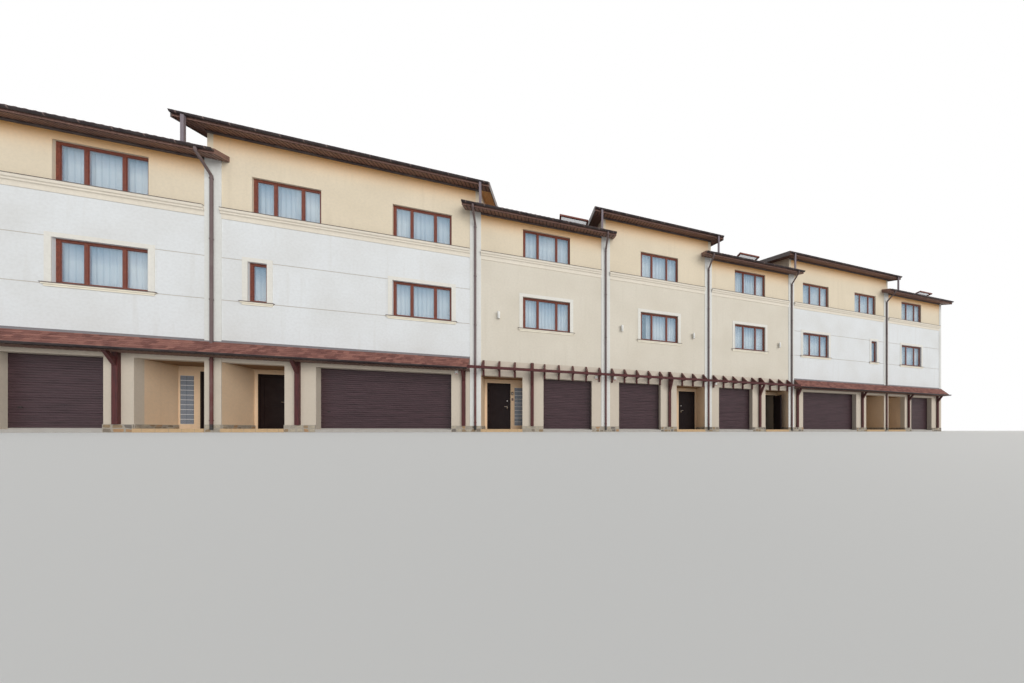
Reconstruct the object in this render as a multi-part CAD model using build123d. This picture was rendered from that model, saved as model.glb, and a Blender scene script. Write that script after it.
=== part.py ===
"""A row of seven joined three-storey houses, modelled at half size.

The row runs along X and its front looks along -Y. The origin lies on the ground in the
middle of the row, in the plane of the front wall. Lengths are millimetres of the half-size
model, so a value here is half the size of the real house. Houses A to G stand from left to
right. D is the middle one, and C and E, B and F, A and G mirror each other about it.
"""
from build123d import *
import math
import os

# Plan of the row
NARROW_WIDTH = 2740.0
WIDE_WIDTH = 3935.0
END_WIDTH = 2815.0
DEPTH = 5000.0
WALL = 150.0
PARTY_WALL = 150.0
INNER_WALL = 75.0

# Levels above the ground
SLAB_TOP = 50.0
PLINTH_TOP = 130.0
OPENING_TOP = 1200.0
FIRST_FLOOR = 1600.0
SECOND_FLOOR = 3320.0
FLOOR_THICKNESS = 100.0
LOW_EAVES = 4640.0
HIGH_EAVES = 5110.0

# Porches and garages, measured along the front from the porch side of each house
PORCH_FROM = 100.0
PORCH_WIDTH = 810.0
PORCH_DEPTH = 525.0
DEEP_PORCH_DEPTH = 700.0
PORCH_CEILING = 50.0
STEP_THICKNESS = 12.0
STEP_NOSING = 30.0
NEAR_PIER = 435.0
END_NEAR_PIER = 325.0
NARROW_FAR_PIER = 325.0
WIDE_FAR_PIER = 440.0
END_FAR_PIER = 510.0
GARAGE_DOOR_THICKNESS = 30.0
GARAGE_DOOR_LAP = 25.0
GARAGE_SECTIONS = 5
GARAGE_RIB = 6.0
GARAGE_RAIL = 22.0
THRESHOLD_DEPTH = 18.0

# Entrance doors
TURNING_DOORS = 5
OPEN_DOOR = "e"
OPEN_DOOR_ANGLE = 80.0
DOOR_FROM_SIDE = 50.0
DOOR_FRAME_WIDTH = 480.0
DOOR_FRAME_HEIGHT = 1050.0
DOOR_FRAME_BAR = 26.0
DOOR_FRAME_DEPTH = 60.0
DOOR_FRAME_PROUD = 6.0
DOOR_LEAF = 32.0
DOOR_CLEARANCE = 7.0
DOOR_PANEL_MARGIN = 55.0
DOOR_PANEL_DEPTH = 5.0
HINGES = 3
HINGE_RADIUS = 6.0
KNUCKLE_LENGTH = 28.0
HINGE_TAB = 14.0
HINGE_TAB_THICKNESS = 3.0
DOOR_PANEL_GROOVE = 10.0
DOOR_PANEL_SPLIT = 0.42
DOOR_PANEL_GAP = 30.0
HANDLE_HEIGHT = 520.0
HANDLE_LENGTH = 62.0
HANDLE_EDGE = 34.0
HANDLE_RADIUS = 5.0
HANDLE_OUT = 24.0
HANDLE_HALF = 4.0
LEVER_HALF = 6.0
PLATE_WIDTH = 20.0
PLATE_THICKNESS = 4.0
PLATE_BELOW = 55.0
PLATE_ABOVE = 25.0
LOCK_ABOVE = 130.0
LOCK_RADIUS = 13.0
LOCK_THICKNESS = 5.0
VIEWER_HEIGHT = 770.0
VIEWER_RADIUS = 6.0
VIEWER_OUT = 3.0
GLASS_BLOCK = 88.0
GLASS_BLOCK_COLUMNS = 2
GLASS_BLOCK_ROWS = 10
GLASS_BLOCK_SILL = 85.0
GLASS_BLOCK_GAP = 84.0
GLASS_BLOCK_JOINT = 6.0

# Windows
WINDOW_WIDTH = 1000.0
OUTER_WINDOW_WIDTH = 940.0
SLIT_WINDOW_WIDTH = 250.0
NARROW_WINDOW_SHIFT = 50.0
SLIT_WINDOW_FROM = 555.0
OUTER_WINDOW_FROM = 950.0
WIDE_WINDOW_FROM_FAR = 935.0
END_WINDOW_FROM = 1250.0
MIDDLE_SILL = 2277.0
MIDDLE_HEAD = 2972.0
UPPER_HEAD = 4464.0
REAR_GROUND_SILL = 560.0
REAR_GROUND_HEAD = 1255.0
FRAME_BAR = 46.0
MULLION_HALF = 26.0
FRAME_DEPTH = 40.0
FRAME_REVEAL = 45.0
SIDE_LIGHT_SHARE = 0.3
GLASS_THICKNESS = 10.0
BAND_WIDTH = 72.0
BAND_THICKNESS = 8.0
SILL_LAP = 100.0
SILL_HEIGHT = 60.0
SILL_EDGE = 10.0
SILL_DEPTH = 38.0

# Mouldings on the front
CORNICE_BOTTOM = 3650.0
CORNICE_TOP = 3820.0
CORNICE_STEPS = 3
CORNICE_DEPTH = 54.0
FLASHING = 7.0
PILASTER_WIDTH = 205.0
PILASTER_THICKNESS = 10.0
PLINTH_THICKNESS = 15.0
RETURN_THICKNESS = 12.0

# Roofs
PITCH = 15.6
ROOF_THICKNESS = 90.0
EAVES_OVERHANG = 285.0
LOW_EAVES_RUN = 200.0
HIGH_VERGE = 285.0
END_VERGE = 110.0
RIDGE_REACH = 90.0
RIDGE_THICKNESS = 20.0
BARGE_THICKNESS = 16.0
BARGE_DROP = 22.0
GUTTER_RADIUS = 33.0
GUTTER_SKIN = 5.0
GUTTER_LIP = 62.0
PIPE_RADIUS = 21.0
PIPE_BEND = 45.0
PIPE_CLIP_RADIUS = 26.0
PIPE_CLIP_HEIGHT = 18.0
PIPE_CLIPS = 5
PIPE_SWAN_NECK = 210.0
PIPE_CLIP_MARGIN = 60.0
PIPE_END = 45.0
SEAT_GAP = 0.3
SPOUT_SIDE = 40.0
SPOUT_FROM_END = 150.0
SPOUT_DIP = 15.0

# Lean-to canopies
CANOPY_WALL_TOP = 1550.0
CANOPY_SOFFIT = 1275.0
CANOPY_FASCIA = 28.0
CANOPY_DEPTH = 275.0

# Posts, brackets and beam
POST_WIDTH = 64.0
POST_DEPTH = 50.0
POST_SHIFT = 45.0
POST_BRACE_FROM = 1010.0
CANOPY_BRACE_FROM = 1050.0
CANOPY_BRACE_OUT = 205.0
POST_BRACE_TALL = 105.0
POST_BRACE_WIDTH = 46.0
WIDE_POST_NEAR = 1100.0
WIDE_POST_FROM_FAR = 215.0
END_POST_NEAR = 1080.0
END_POST_FROM_FAR = 225.0
BRACKETS = 9
POST_BRACKET = 3
BRACKET_WIDTH = 36.0
BRACKET_BATTEN = 36.0
BRACKET_BOTTOM = 1180.0
BRACKET_TOP = 1520.0
BEAM_BOTTOM = 1300.0
BEAM_TOP = 1355.0
BEAM_DEPTH = 36.0
BEAM_OUT = 240.0

# Small things on the walls and roofs
LAMP_HEIGHT = 2500.0
LAMP_RADIUS = 28.0
LAMP_LENGTH = 140.0
LAMP_ARM = 22.0
PORCH_LAMP_FROM = 445.0
GARAGE_LAMP_FROM_FAR = 395.0
LAMP_ARM_RADIUS = 8.0
ALARM_WIDTH = 62.0
ALARM_HEIGHT = 78.0
ALARM_DEPTH = 30.0
ALARM_PLACES = {
    "b": (345.0, 1195.0),
    "c": (225.0, 1240.0),
    "d": (225.0, 1240.0),
    "e": (225.0, 1240.0),
}
ROOF_WINDOW_WIDTH = 660.0
ROOF_WINDOW_LENGTH = 620.0
ROOF_WINDOW_UP_SLOPE = 560.0
ROOF_WINDOW_SHIFTS = {"c": 665.0, "e": 100.0, "g": 1000.0}
ROOF_WINDOW_KERB = 45.0
ROOF_WINDOW_BAR = 38.0
ROOF_WINDOW_OPEN = 21.0

TAN_PITCH = math.tan(math.radians(PITCH))
RIDGE_Y = DEPTH / 2
HALF_PARTY = PARTY_WALL / 2
PORCH_END = PORCH_FROM + PORCH_WIDTH


def bracket_distance(index):
    """Distance of a bracket from the porch side of a narrow house."""
    shift = POST_SHIFT if index == POST_BRACKET else 0
    return (index + 0.5) * NARROW_WIDTH / BRACKETS + shift


class House:
    """One house: where it stands, which way it faces along the row and what it has."""

    def __init__(self, letter, porch_side_x, along, kind, high):
        self.letter = letter
        self.porch_side_x = porch_side_x
        self.along = along
        self.high = high
        self.kind = kind
        self.eaves = HIGH_EAVES if high else LOW_EAVES
        if kind == "narrow":
            self.width = NARROW_WIDTH
            self.garage = (PORCH_END + NEAR_PIER, NARROW_WIDTH - NARROW_FAR_PIER)
            self.porch_depth = PORCH_DEPTH
            middle = NARROW_WIDTH / 2 + (0 if high else NARROW_WINDOW_SHIFT)
            self.middle_windows = [(middle, WINDOW_WIDTH)]
            self.upper_windows = [(middle, WINDOW_WIDTH)]
            self.posts = [bracket_distance(POST_BRACKET)]
        elif kind == "wide":
            self.width = WIDE_WIDTH
            self.garage = (PORCH_END + NEAR_PIER, WIDE_WIDTH - WIDE_FAR_PIER)
            self.porch_depth = DEEP_PORCH_DEPTH
            over_garage = (WIDE_WIDTH - WIDE_WINDOW_FROM_FAR, WINDOW_WIDTH)
            self.middle_windows = [(SLIT_WINDOW_FROM, SLIT_WINDOW_WIDTH), over_garage]
            self.upper_windows = [(OUTER_WINDOW_FROM, OUTER_WINDOW_WIDTH), over_garage]
            self.posts = [WIDE_POST_NEAR, WIDE_WIDTH - WIDE_POST_FROM_FAR]
        else:
            self.width = END_WIDTH
            self.garage = (PORCH_END + END_NEAR_PIER, END_WIDTH - END_FAR_PIER)
            self.porch_depth = DEEP_PORCH_DEPTH
            self.middle_windows = [(END_WINDOW_FROM, WINDOW_WIDTH)]
            self.upper_windows = [(END_WINDOW_FROM, WINDOW_WIDTH)]
            self.posts = [END_POST_NEAR, END_WIDTH - END_POST_FROM_FAR]

    def span(self, near, far):
        """X range of a stretch given by distances from the porch side of the house."""
        ends = (self.porch_side_x + self.along * near, self.porch_side_x + self.along * far)
        return min(ends), max(ends)

    def around(self, centre, width):
        """X range of something of this width, centred at this distance."""
        return self.span(centre - width / 2, centre + width / 2)

    def whole(self):
        """X range between the middles of the walls on both sides."""
        return self.span(0, self.width)

    def inside(self):
        """X range between the faces of the walls on both sides."""
        low, high = self.whole()
        outer_low = WALL if self.letter == "a" else HALF_PARTY
        outer_high = WALL if self.letter == "g" else HALF_PARTY
        return low + outer_low, high - outer_high

    def porch(self):
        return self.span(PORCH_FROM, PORCH_END)

    def garage_opening(self):
        return self.span(*self.garage)


C_E_SIDE = NARROW_WIDTH * 1.5
B_F_SIDE = C_E_SIDE + WIDE_WIDTH
ROW_HALF = B_F_SIDE + END_WIDTH
HOUSES = [
    House("a", -B_F_SIDE, -1, "end", False),
    House("b", -B_F_SIDE, 1, "wide", True),
    House("c", -C_E_SIDE, 1, "narrow", False),
    House("d", NARROW_WIDTH / 2, -1, "narrow", True),
    House("e", C_E_SIDE, -1, "narrow", False),
    House("f", B_F_SIDE, -1, "wide", True),
    House("g", B_F_SIDE, 1, "end", False),
]
BOUNDARIES = [house.whole()[1] for house in HOUSES[:-1]]


def block(x_range, y_range, z_range):
    """A box between two values on each axis."""
    size = [high - low for low, high in (x_range, y_range, z_range)]
    middle = [(low + high) / 2 for low, high in (x_range, y_range, z_range)]
    return Pos(*middle) * Box(*size)


def prism(profile, x_range):
    """A profile of (y, z) points drawn out along the row."""
    face = make_face(Polyline([(y, z) for y, z in profile], close=True))
    return extrude(Plane.YZ.offset(x_range[0]) * face, amount=x_range[1] - x_range[0])


def rod(start, end, radius):
    """A round bar between two points."""
    axis = Vector(*end) - Vector(*start)
    return extrude(Plane(origin=start, z_dir=axis) * Circle(radius), amount=axis.length)


def underside(eaves, y):
    """Height of a roof's underside at this depth, the same before and behind the ridge."""
    return eaves + min(y, DEPTH - y) * TAN_PITCH


def save(name, solids):
    """Writes one sub-part."""
    whole = Compound(children=[piece for piece in solids])
    whole.label = name
    export_step(whole, f"parts/{name}.step")


# Carcass


def ground_slab():
    return [block((-ROW_HALF, ROW_HALF), (0, DEPTH), (0, SLAB_TOP))]


def floor_slabs(level):
    return [
        block(house.inside(), (WALL, DEPTH - WALL), (level - FLOOR_THICKNESS, level))
        for house in HOUSES
    ]


def gable_wall(x_range, eaves):
    """A wall across the row, from the slab to the underside of the roof over it."""
    profile = [
        (0, SLAB_TOP),
        (DEPTH, SLAB_TOP),
        (DEPTH, underside(eaves, DEPTH)),
        (RIDGE_Y, underside(eaves, RIDGE_Y)),
        (0, underside(eaves, 0)),
    ]
    return prism(profile, x_range)


def party_walls():
    return [gable_wall((x - HALF_PARTY, x + HALF_PARTY), HIGH_EAVES) for x in BOUNDARIES]


def end_walls():
    left = gable_wall((-ROW_HALF, -ROW_HALF + WALL), LOW_EAVES)
    right = gable_wall((ROW_HALF - WALL, ROW_HALF), LOW_EAVES)
    return [left, right]


def long_wall(house, y_range, bottom, windows):
    """A front or rear wall between the party walls, with its window openings cut through."""
    near, far = y_range
    profile = [
        (near, bottom),
        (far, bottom),
        (far, underside(house.eaves, far)),
        (near, underside(house.eaves, near)),
    ]
    wall = prism(profile, house.inside())
    for (centre, width), sill, head in windows:
        wall -= block(house.around(centre, width), (near - 1, far + 1), (sill, head))
    return wall


def front_windows(house):
    middle = [(window, MIDDLE_SILL, MIDDLE_HEAD) for window in house.middle_windows]
    upper = [(window, CORNICE_TOP, UPPER_HEAD) for window in house.upper_windows]
    return middle + upper


def rear_windows(house):
    """The rear repeats the storeys of the front, with one window more on the ground floor."""
    ground = [(house.middle_windows[-1], REAR_GROUND_SILL, REAR_GROUND_HEAD)]
    return ground + front_windows(house)


def front_walls(high):
    return [
        long_wall(house, (0, WALL), OPENING_TOP, front_windows(house))
        for house in HOUSES
        if house.high == high
    ]


def rear_walls(high):
    return [
        long_wall(house, (DEPTH - WALL, DEPTH), SLAB_TOP, rear_windows(house))
        for house in HOUSES
        if house.high == high
    ]


def front_piers():
    """Ground-floor piers on both sides of each garage door."""
    pieces = []
    for house in HOUSES:
        start, end = house.garage
        between = house.span(PORCH_END, start)
        low, high = house.span(end, house.width)
        inner_low, inner_high = house.inside()
        beyond = (max(low, inner_low), min(high, inner_high))
        for x_range in (between, beyond):
            pieces.append(block(x_range, (0, WALL), (SLAB_TOP, OPENING_TOP)))
    return pieces


# Porches


def porch_side_walls():
    """The lining on the party wall, and the wall between the porch and the garage."""
    pieces = []
    for house in HOUSES:
        back = house.porch_depth + INNER_WALL
        lining = house.span(HALF_PARTY, PORCH_FROM)
        pieces.append(block(lining, (0, back), (SLAB_TOP, OPENING_TOP)))
        garage_side = house.span(PORCH_END, PORCH_END + INNER_WALL)
        pieces.append(block(garage_side, (WALL, back), (SLAB_TOP, OPENING_TOP)))
    return pieces


def porch_ceilings():
    pieces = []
    for house in HOUSES:
        x_range = house.span(HALF_PARTY, PORCH_END + INNER_WALL)
        y_range = (WALL, house.porch_depth + INNER_WALL)
        pieces.append(block(x_range, y_range, (OPENING_TOP, OPENING_TOP + PORCH_CEILING)))
    return pieces


DOOR_FROM = PORCH_FROM + DOOR_FROM_SIDE
DOOR_TO = DOOR_FROM + DOOR_FRAME_WIDTH
DOOR_BOTTOM = SLAB_TOP + STEP_THICKNESS
DOOR_TOP = DOOR_BOTTOM + DOOR_FRAME_HEIGHT
GLASS_FROM = DOOR_TO + GLASS_BLOCK_GAP
GLASS_TO = GLASS_FROM + GLASS_BLOCK_COLUMNS * GLASS_BLOCK
GLASS_BOTTOM = DOOR_BOTTOM + GLASS_BLOCK_SILL
GLASS_TOP = GLASS_BOTTOM + GLASS_BLOCK_ROWS * GLASS_BLOCK


def porch_back_walls():
    """Each wall is built of upright and level pieces round the door and the glass blocks."""
    pieces = []
    for house in HOUSES:
        y_range = (house.porch_depth, house.porch_depth + INNER_WALL)
        upright = (SLAB_TOP, DOOR_TOP)
        pieces.append(block(house.span(PORCH_FROM, DOOR_FROM), y_range, upright))
        pieces.append(block(house.span(DOOR_TO, GLASS_FROM), y_range, upright))
        pieces.append(block(house.span(GLASS_FROM, GLASS_TO), y_range, (SLAB_TOP, GLASS_BOTTOM)))
        pieces.append(block(house.span(GLASS_FROM, GLASS_TO), y_range, (GLASS_TOP, DOOR_TOP)))
        pieces.append(block(house.span(GLASS_TO, PORCH_END), y_range, upright))
    return pieces


def porch_heads():
    pieces = []
    for house in HOUSES:
        x_range = house.porch()
        y_range = (house.porch_depth, house.porch_depth + INNER_WALL)
        pieces.append(block(x_range, y_range, (DOOR_TOP, OPENING_TOP)))
    return pieces


def porch_steps():
    pieces = []
    for house in HOUSES:
        tread = block(house.porch(), (0, house.porch_depth), (SLAB_TOP, DOOR_BOTTOM))
        nosing = block(house.porch(), (-STEP_NOSING, 0), (0, DOOR_BOTTOM))
        pieces.append(tread + nosing)
    return pieces


def glass_blocks():
    """A panel of square blocks, with a groove between each pair of blocks."""
    pieces = []
    joint = GLASS_BLOCK_JOINT
    face_size = GLASS_BLOCK - 2 * joint
    for house in HOUSES:
        front = house.porch_depth
        y_range = (front + joint, front + INNER_WALL - joint)
        panel = block(house.span(GLASS_FROM, GLASS_TO), y_range, (GLASS_BOTTOM, GLASS_TOP))
        for column in range(GLASS_BLOCK_COLUMNS):
            for row in range(GLASS_BLOCK_ROWS):
                start = GLASS_FROM + column * GLASS_BLOCK + joint
                bottom = GLASS_BOTTOM + row * GLASS_BLOCK + joint
                face_x = house.span(start, start + face_size)
                panel += block(face_x, (front, front + joint), (bottom, bottom + face_size))
        pieces.append(panel)
    return pieces


# Entrance doors


def door_front(house):
    """Depth of the outer face of the door and its frame."""
    return house.porch_depth - DOOR_FRAME_PROUD


def hinge_axis(house):
    """X and Y of the line that a door turns about, between its edge and the frame."""
    distance = DOOR_FROM + DOOR_FRAME_BAR + DOOR_CLEARANCE / 2
    return house.around(distance, 0)[0], door_front(house) - HINGE_RADIUS - SEAT_GAP


def knuckles(house, on_leaf):
    """Hinge knuckles with their tabs: the lower ones on the frame, the upper on the leaf."""
    x, y = hinge_axis(house)
    front = door_front(house)
    direction = house.along if on_leaf else -house.along
    tab_x = sorted((x, x + direction * HINGE_TAB))
    pieces = []
    for index in range(HINGES):
        level = DOOR_BOTTOM + (index + 0.5) * DOOR_FRAME_HEIGHT / HINGES
        low = level + SEAT_GAP if on_leaf else level - KNUCKLE_LENGTH
        barrel = rod((x, y, low), (x, y, low + KNUCKLE_LENGTH), HINGE_RADIUS)
        tab = block(tuple(tab_x), (front - HINGE_TAB_THICKNESS, front), (low, low + KNUCKLE_LENGTH))
        pieces.append(barrel + tab)
    return pieces


def entrance_frames():
    pieces = []
    for house in HOUSES:
        front = door_front(house)
        y_range = (front, front + DOOR_FRAME_DEPTH)
        outline = block(house.span(DOOR_FROM, DOOR_TO), y_range, (DOOR_BOTTOM, DOOR_TOP))
        inner = house.span(DOOR_FROM + DOOR_FRAME_BAR, DOOR_TO - DOOR_FRAME_BAR)
        way = block(inner, (front - 1, front + DOOR_FRAME_DEPTH + 1), (0, DOOR_TOP - DOOR_FRAME_BAR))
        frame = outline - way
        for knuckle in knuckles(house, False):
            frame += knuckle
        pieces.append(frame)
    return pieces


def leaf_range():
    near = DOOR_FROM + DOOR_FRAME_BAR + DOOR_CLEARANCE
    far = DOOR_TO - DOOR_FRAME_BAR - DOOR_CLEARANCE
    return near, far


def door_handle(house, front):
    """A backplate, a spindle and a lever that points to the hinges."""
    middle = leaf_range()[1] - HANDLE_EDGE
    x = house.around(middle, 0)[0]
    level = DOOR_BOTTOM + HANDLE_HEIGHT
    plate_z = (level - PLATE_BELOW, level + PLATE_ABOVE)
    plate = block(house.around(middle, PLATE_WIDTH), (front - PLATE_THICKNESS, front), plate_z)
    out = front - HANDLE_OUT
    spindle = rod((x, front, level), (x, out, level), HANDLE_RADIUS)
    lever = block(
        house.span(middle - HANDLE_LENGTH, middle + LEVER_HALF),
        (out - HANDLE_HALF, out + HANDLE_HALF),
        (level - LEVER_HALF, level + LEVER_HALF),
    )
    lock_z = level + LOCK_ABOVE
    lock = rod((x, front, lock_z), (x, front - LOCK_THICKNESS, lock_z), LOCK_RADIUS)
    return plate + spindle + lever + lock


def entrance_door(house):
    """A steel leaf with a pressed border and two panels, its hinges and its handle.

    The door of one house stands open.
    """
    front = door_front(house)
    near, far = leaf_range()
    bottom = DOOR_BOTTOM + DOOR_CLEARANCE
    top = DOOR_TOP - DOOR_FRAME_BAR - DOOR_CLEARANCE
    leaf = block(house.span(near, far), (front, front + DOOR_LEAF), (bottom, top))
    panel_x = house.span(near + DOOR_PANEL_MARGIN, far - DOOR_PANEL_MARGIN)
    split = bottom + DOOR_PANEL_SPLIT * (top - bottom)
    groove = DOOR_PANEL_GROOVE
    lower_panel = (bottom + DOOR_PANEL_MARGIN, split)
    upper_panel = (split + DOOR_PANEL_GAP, top - DOOR_PANEL_MARGIN)
    for low, high in (lower_panel, upper_panel):
        sunk = block(panel_x, (front, front + DOOR_PANEL_DEPTH), (low, high))
        raised_x = (panel_x[0] + groove, panel_x[1] - groove)
        raised = block(raised_x, (front, front + DOOR_PANEL_DEPTH), (low + groove, high - groove))
        leaf -= sunk - raised
    middle = house.around((near + far) / 2, 0)[0]
    level = DOOR_BOTTOM + VIEWER_HEIGHT
    viewer = rod((middle, front + 1, level), (middle, front - VIEWER_OUT, level), VIEWER_RADIUS)
    for knuckle in knuckles(house, True):
        leaf += knuckle
    leaf += viewer + door_handle(house, front)
    if house.letter == OPEN_DOOR:
        leaf = leaf.rotate(Axis((*hinge_axis(house), 0), (0, 0, 1)), -house.along * OPEN_DOOR_ANGLE)
    return leaf


# Garages


def garage_doors():
    """Sectional doors behind the front wall, with level ribs pressed into each section."""
    pieces = []
    for house in HOUSES:
        start, end = house.garage
        x_range = house.span(start - GARAGE_DOOR_LAP, end + GARAGE_DOOR_LAP)
        bottom = SLAB_TOP + GARAGE_RAIL
        top = OPENING_TOP + GARAGE_DOOR_LAP
        door = block(x_range, (WALL, WALL + GARAGE_DOOR_THICKNESS), (bottom, top))
        section = (OPENING_TOP - bottom) / GARAGE_SECTIONS
        for joint in range(1, GARAGE_SECTIONS):
            level = bottom + joint * section
            slot = (level - GARAGE_RIB / 2, level + GARAGE_RIB / 2)
            door -= block(x_range, (WALL, WALL + GARAGE_RIB), slot)
        pieces.append(door)
    return pieces


def garage_rails():
    pieces = []
    for house in HOUSES:
        start, end = house.garage
        x_range = house.span(start - GARAGE_DOOR_LAP, end + GARAGE_DOOR_LAP)
        y_range = (WALL, WALL + GARAGE_DOOR_THICKNESS)
        pieces.append(block(x_range, y_range, (SLAB_TOP, SLAB_TOP + GARAGE_RAIL)))
    return pieces


def garage_thresholds():
    return [
        block(house.garage_opening(), (-THRESHOLD_DEPTH, 0), (0, SLAB_TOP)) for house in HOUSES
    ]


# Windows


def all_windows():
    """Every window of the front and the rear: X range, outer face, direction in, sill, head."""
    openings = []
    for house in HOUSES:
        for (centre, width), sill, head in front_windows(house):
            openings.append((house.around(centre, width), 0.0, 1, sill, head))
        for (centre, width), sill, head in rear_windows(house):
            openings.append((house.around(centre, width), DEPTH, -1, sill, head))
    return openings


def depth_range(face, inward, start, thickness):
    """Y range of a layer that starts this far behind the outer face of a wall."""
    ends = (face + inward * start, face + inward * (start + thickness))
    return min(ends), max(ends)


def light_edges(x_range):
    """X ranges of the lights of one window: three in a wide one, one in a slit."""
    low, high = x_range
    width = high - low
    if width < 2 * SLIT_WINDOW_WIDTH:
        return [(low + FRAME_BAR, high - FRAME_BAR)]
    side = SIDE_LIGHT_SHARE * width
    edges = [low, low + side, high - side, high]
    ranges = []
    for left, right in zip(edges[:-1], edges[1:]):
        left_bar = FRAME_BAR if left == low else MULLION_HALF
        right_bar = FRAME_BAR if right == high else MULLION_HALF
        ranges.append((left + left_bar, right - right_bar))
    return ranges


def window_frames():
    pieces = []
    for x_range, face, inward, sill, head in all_windows():
        y_range = depth_range(face, inward, FRAME_REVEAL, FRAME_DEPTH)
        frame = block(x_range, y_range, (sill, head))
        for light in light_edges(x_range):
            hole = (y_range[0] - 1, y_range[1] + 1)
            frame -= block(light, hole, (sill + FRAME_BAR, head - FRAME_BAR))
        pieces.append(frame)
    return pieces


def window_glass():
    """One pane in each light, in the middle of the frame's depth."""
    pieces = []
    for x_range, face, inward, sill, head in all_windows():
        start = FRAME_REVEAL + (FRAME_DEPTH - GLASS_THICKNESS) / 2
        y_range = depth_range(face, inward, start, GLASS_THICKNESS)
        for light in light_edges(x_range):
            pieces.append(block(light, y_range, (sill + FRAME_BAR, head - FRAME_BAR)))
    return pieces


def window_bands():
    """Flat bands round the windows of both faces, but for the upper windows, which have none."""
    pieces = []
    for x_range, face, inward, sill, head in all_windows():
        if sill == CORNICE_TOP:
            continue
        low, high = x_range
        y_range = depth_range(face, -inward, 0, BAND_THICKNESS)
        outline = block((low - BAND_WIDTH, high + BAND_WIDTH), y_range, (sill, head + BAND_WIDTH))
        way = (y_range[0] - 1, y_range[1] + 1)
        pieces.append(outline - block(x_range, way, (sill, head)))
    return pieces


def window_sills():
    """A thin sill on a stepped moulding, where no cornice carries the window."""
    pieces = []
    for x_range, face, inward, sill, head in all_windows():
        if sill == CORNICE_TOP:
            continue
        low, high = x_range
        moulding = ((SILL_LAP, 1.0, 0, SILL_EDGE), (SILL_LAP - 12, 0.75, SILL_EDGE, 0.55 * SILL_HEIGHT),
                    (BAND_WIDTH, 0.4, 0.55 * SILL_HEIGHT, SILL_HEIGHT))
        whole = None
        for lap, share, above, below in moulding:
            y_range = depth_range(face, -inward, 0, share * SILL_DEPTH)
            step = block((low - lap, high + lap), y_range, (sill - below, sill - above))
            whole = step if whole is None else whole + step
        pieces.append(whole)
    return pieces


# Mouldings


def cornice_runs():
    """X ranges of the cornice, which stops at each pilaster."""
    half = PILASTER_WIDTH / 2
    edges = [-ROW_HALF] + BOUNDARIES + [ROW_HALF]
    runs = []
    for left, right in zip(edges[:-1], edges[1:]):
        start = left if left == -ROW_HALF else left + half
        end = right - half
        runs.append((start, end))
    return runs


def cornices():
    """Three steps that grow outward towards the top, on the front and on the rear."""
    pieces = []
    rise = (CORNICE_TOP - FLASHING - CORNICE_BOTTOM) / CORNICE_STEPS
    for inward, face in ((1, 0.0), (-1, DEPTH)):
        for run in cornice_runs():
            profile = [(face, CORNICE_BOTTOM)]
            for step in range(CORNICE_STEPS):
                out = face - inward * CORNICE_DEPTH * (step + 1) / CORNICE_STEPS
                profile.append((out, CORNICE_BOTTOM + step * rise))
                profile.append((out, CORNICE_BOTTOM + (step + 1) * rise))
            profile.append((face, CORNICE_BOTTOM + CORNICE_STEPS * rise))
            pieces.append(prism(profile, run))
    return pieces


def cornice_flashings():
    pieces = []
    for inward, face in ((1, 0.0), (-1, DEPTH)):
        y_range = depth_range(face, -inward, 0, CORNICE_DEPTH + FLASHING)
        for run in cornice_runs():
            pieces.append(block(run, y_range, (CORNICE_TOP - FLASHING, CORNICE_TOP)))
    return pieces


def pilasters():
    half = PILASTER_WIDTH / 2
    y_range = (-PILASTER_THICKNESS, 0)
    top = underside(LOW_EAVES, -PILASTER_THICKNESS)
    pieces = []
    for x in BOUNDARIES:
        pieces.append(block((x - half, x + half), y_range, (PLINTH_TOP, top)))
    pieces.append(block((ROW_HALF - half, ROW_HALF), y_range, (PLINTH_TOP, top)))
    return pieces


def plinth():
    """Stone facing between the openings of the front, and its returns in the porches."""
    openings = [house.porch() for house in HOUSES]
    openings += [house.garage_opening() for house in HOUSES]
    openings.sort()
    edges = [-ROW_HALF] + [value for opening in openings for value in opening] + [ROW_HALF]
    pieces = []
    for left, right in zip(edges[0::2], edges[1::2]):
        pieces.append(block((left, right), (-PLINTH_THICKNESS, 0), (0, PLINTH_TOP)))
    for house in HOUSES:
        near = house.span(PORCH_FROM, PORCH_FROM + RETURN_THICKNESS)
        far = house.span(PORCH_END - RETURN_THICKNESS, PORCH_END)
        for x_range in (near, far):
            pieces.append(block(x_range, (0, house.porch_depth), (DOOR_BOTTOM, PLINTH_TOP)))
    return pieces


# Roofs


def slope(eaves, x_range, y_from, y_to, rear):
    """A straight roof slab between two depths, mirrored for the rear."""
    profile = []
    for y, lift in ((y_from, 0), (y_to, 0), (y_to, ROOF_THICKNESS), (y_from, ROOF_THICKNESS)):
        profile.append((DEPTH - y if rear else y, underside(eaves, y) + lift))
    return prism(profile, x_range)


def roof_slopes(rear):
    """Low roofs fit between the party walls, and only their eaves run past them."""
    pieces = []
    for house in HOUSES:
        low_x, high_x = house.whole()
        if house.high:
            x_range = (low_x - HIGH_VERGE, high_x + HIGH_VERGE)
            pieces.append(slope(house.eaves, x_range, -EAVES_OVERHANG, RIDGE_Y, rear))
            continue
        left = -ROW_HALF - END_VERGE if house.letter == "a" else low_x + HALF_PARTY
        right = ROW_HALF + END_VERGE if house.letter == "g" else high_x - HALF_PARTY
        eaves_left = left if house.letter == "a" else low_x - LOW_EAVES_RUN
        eaves_right = right if house.letter == "g" else high_x + LOW_EAVES_RUN
        body = slope(house.eaves, (left, right), 0, RIDGE_Y, rear)
        eaves = slope(house.eaves, (eaves_left, eaves_right), -EAVES_OVERHANG, 0, rear)
        pieces.append(body + eaves)
    return pieces


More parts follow.
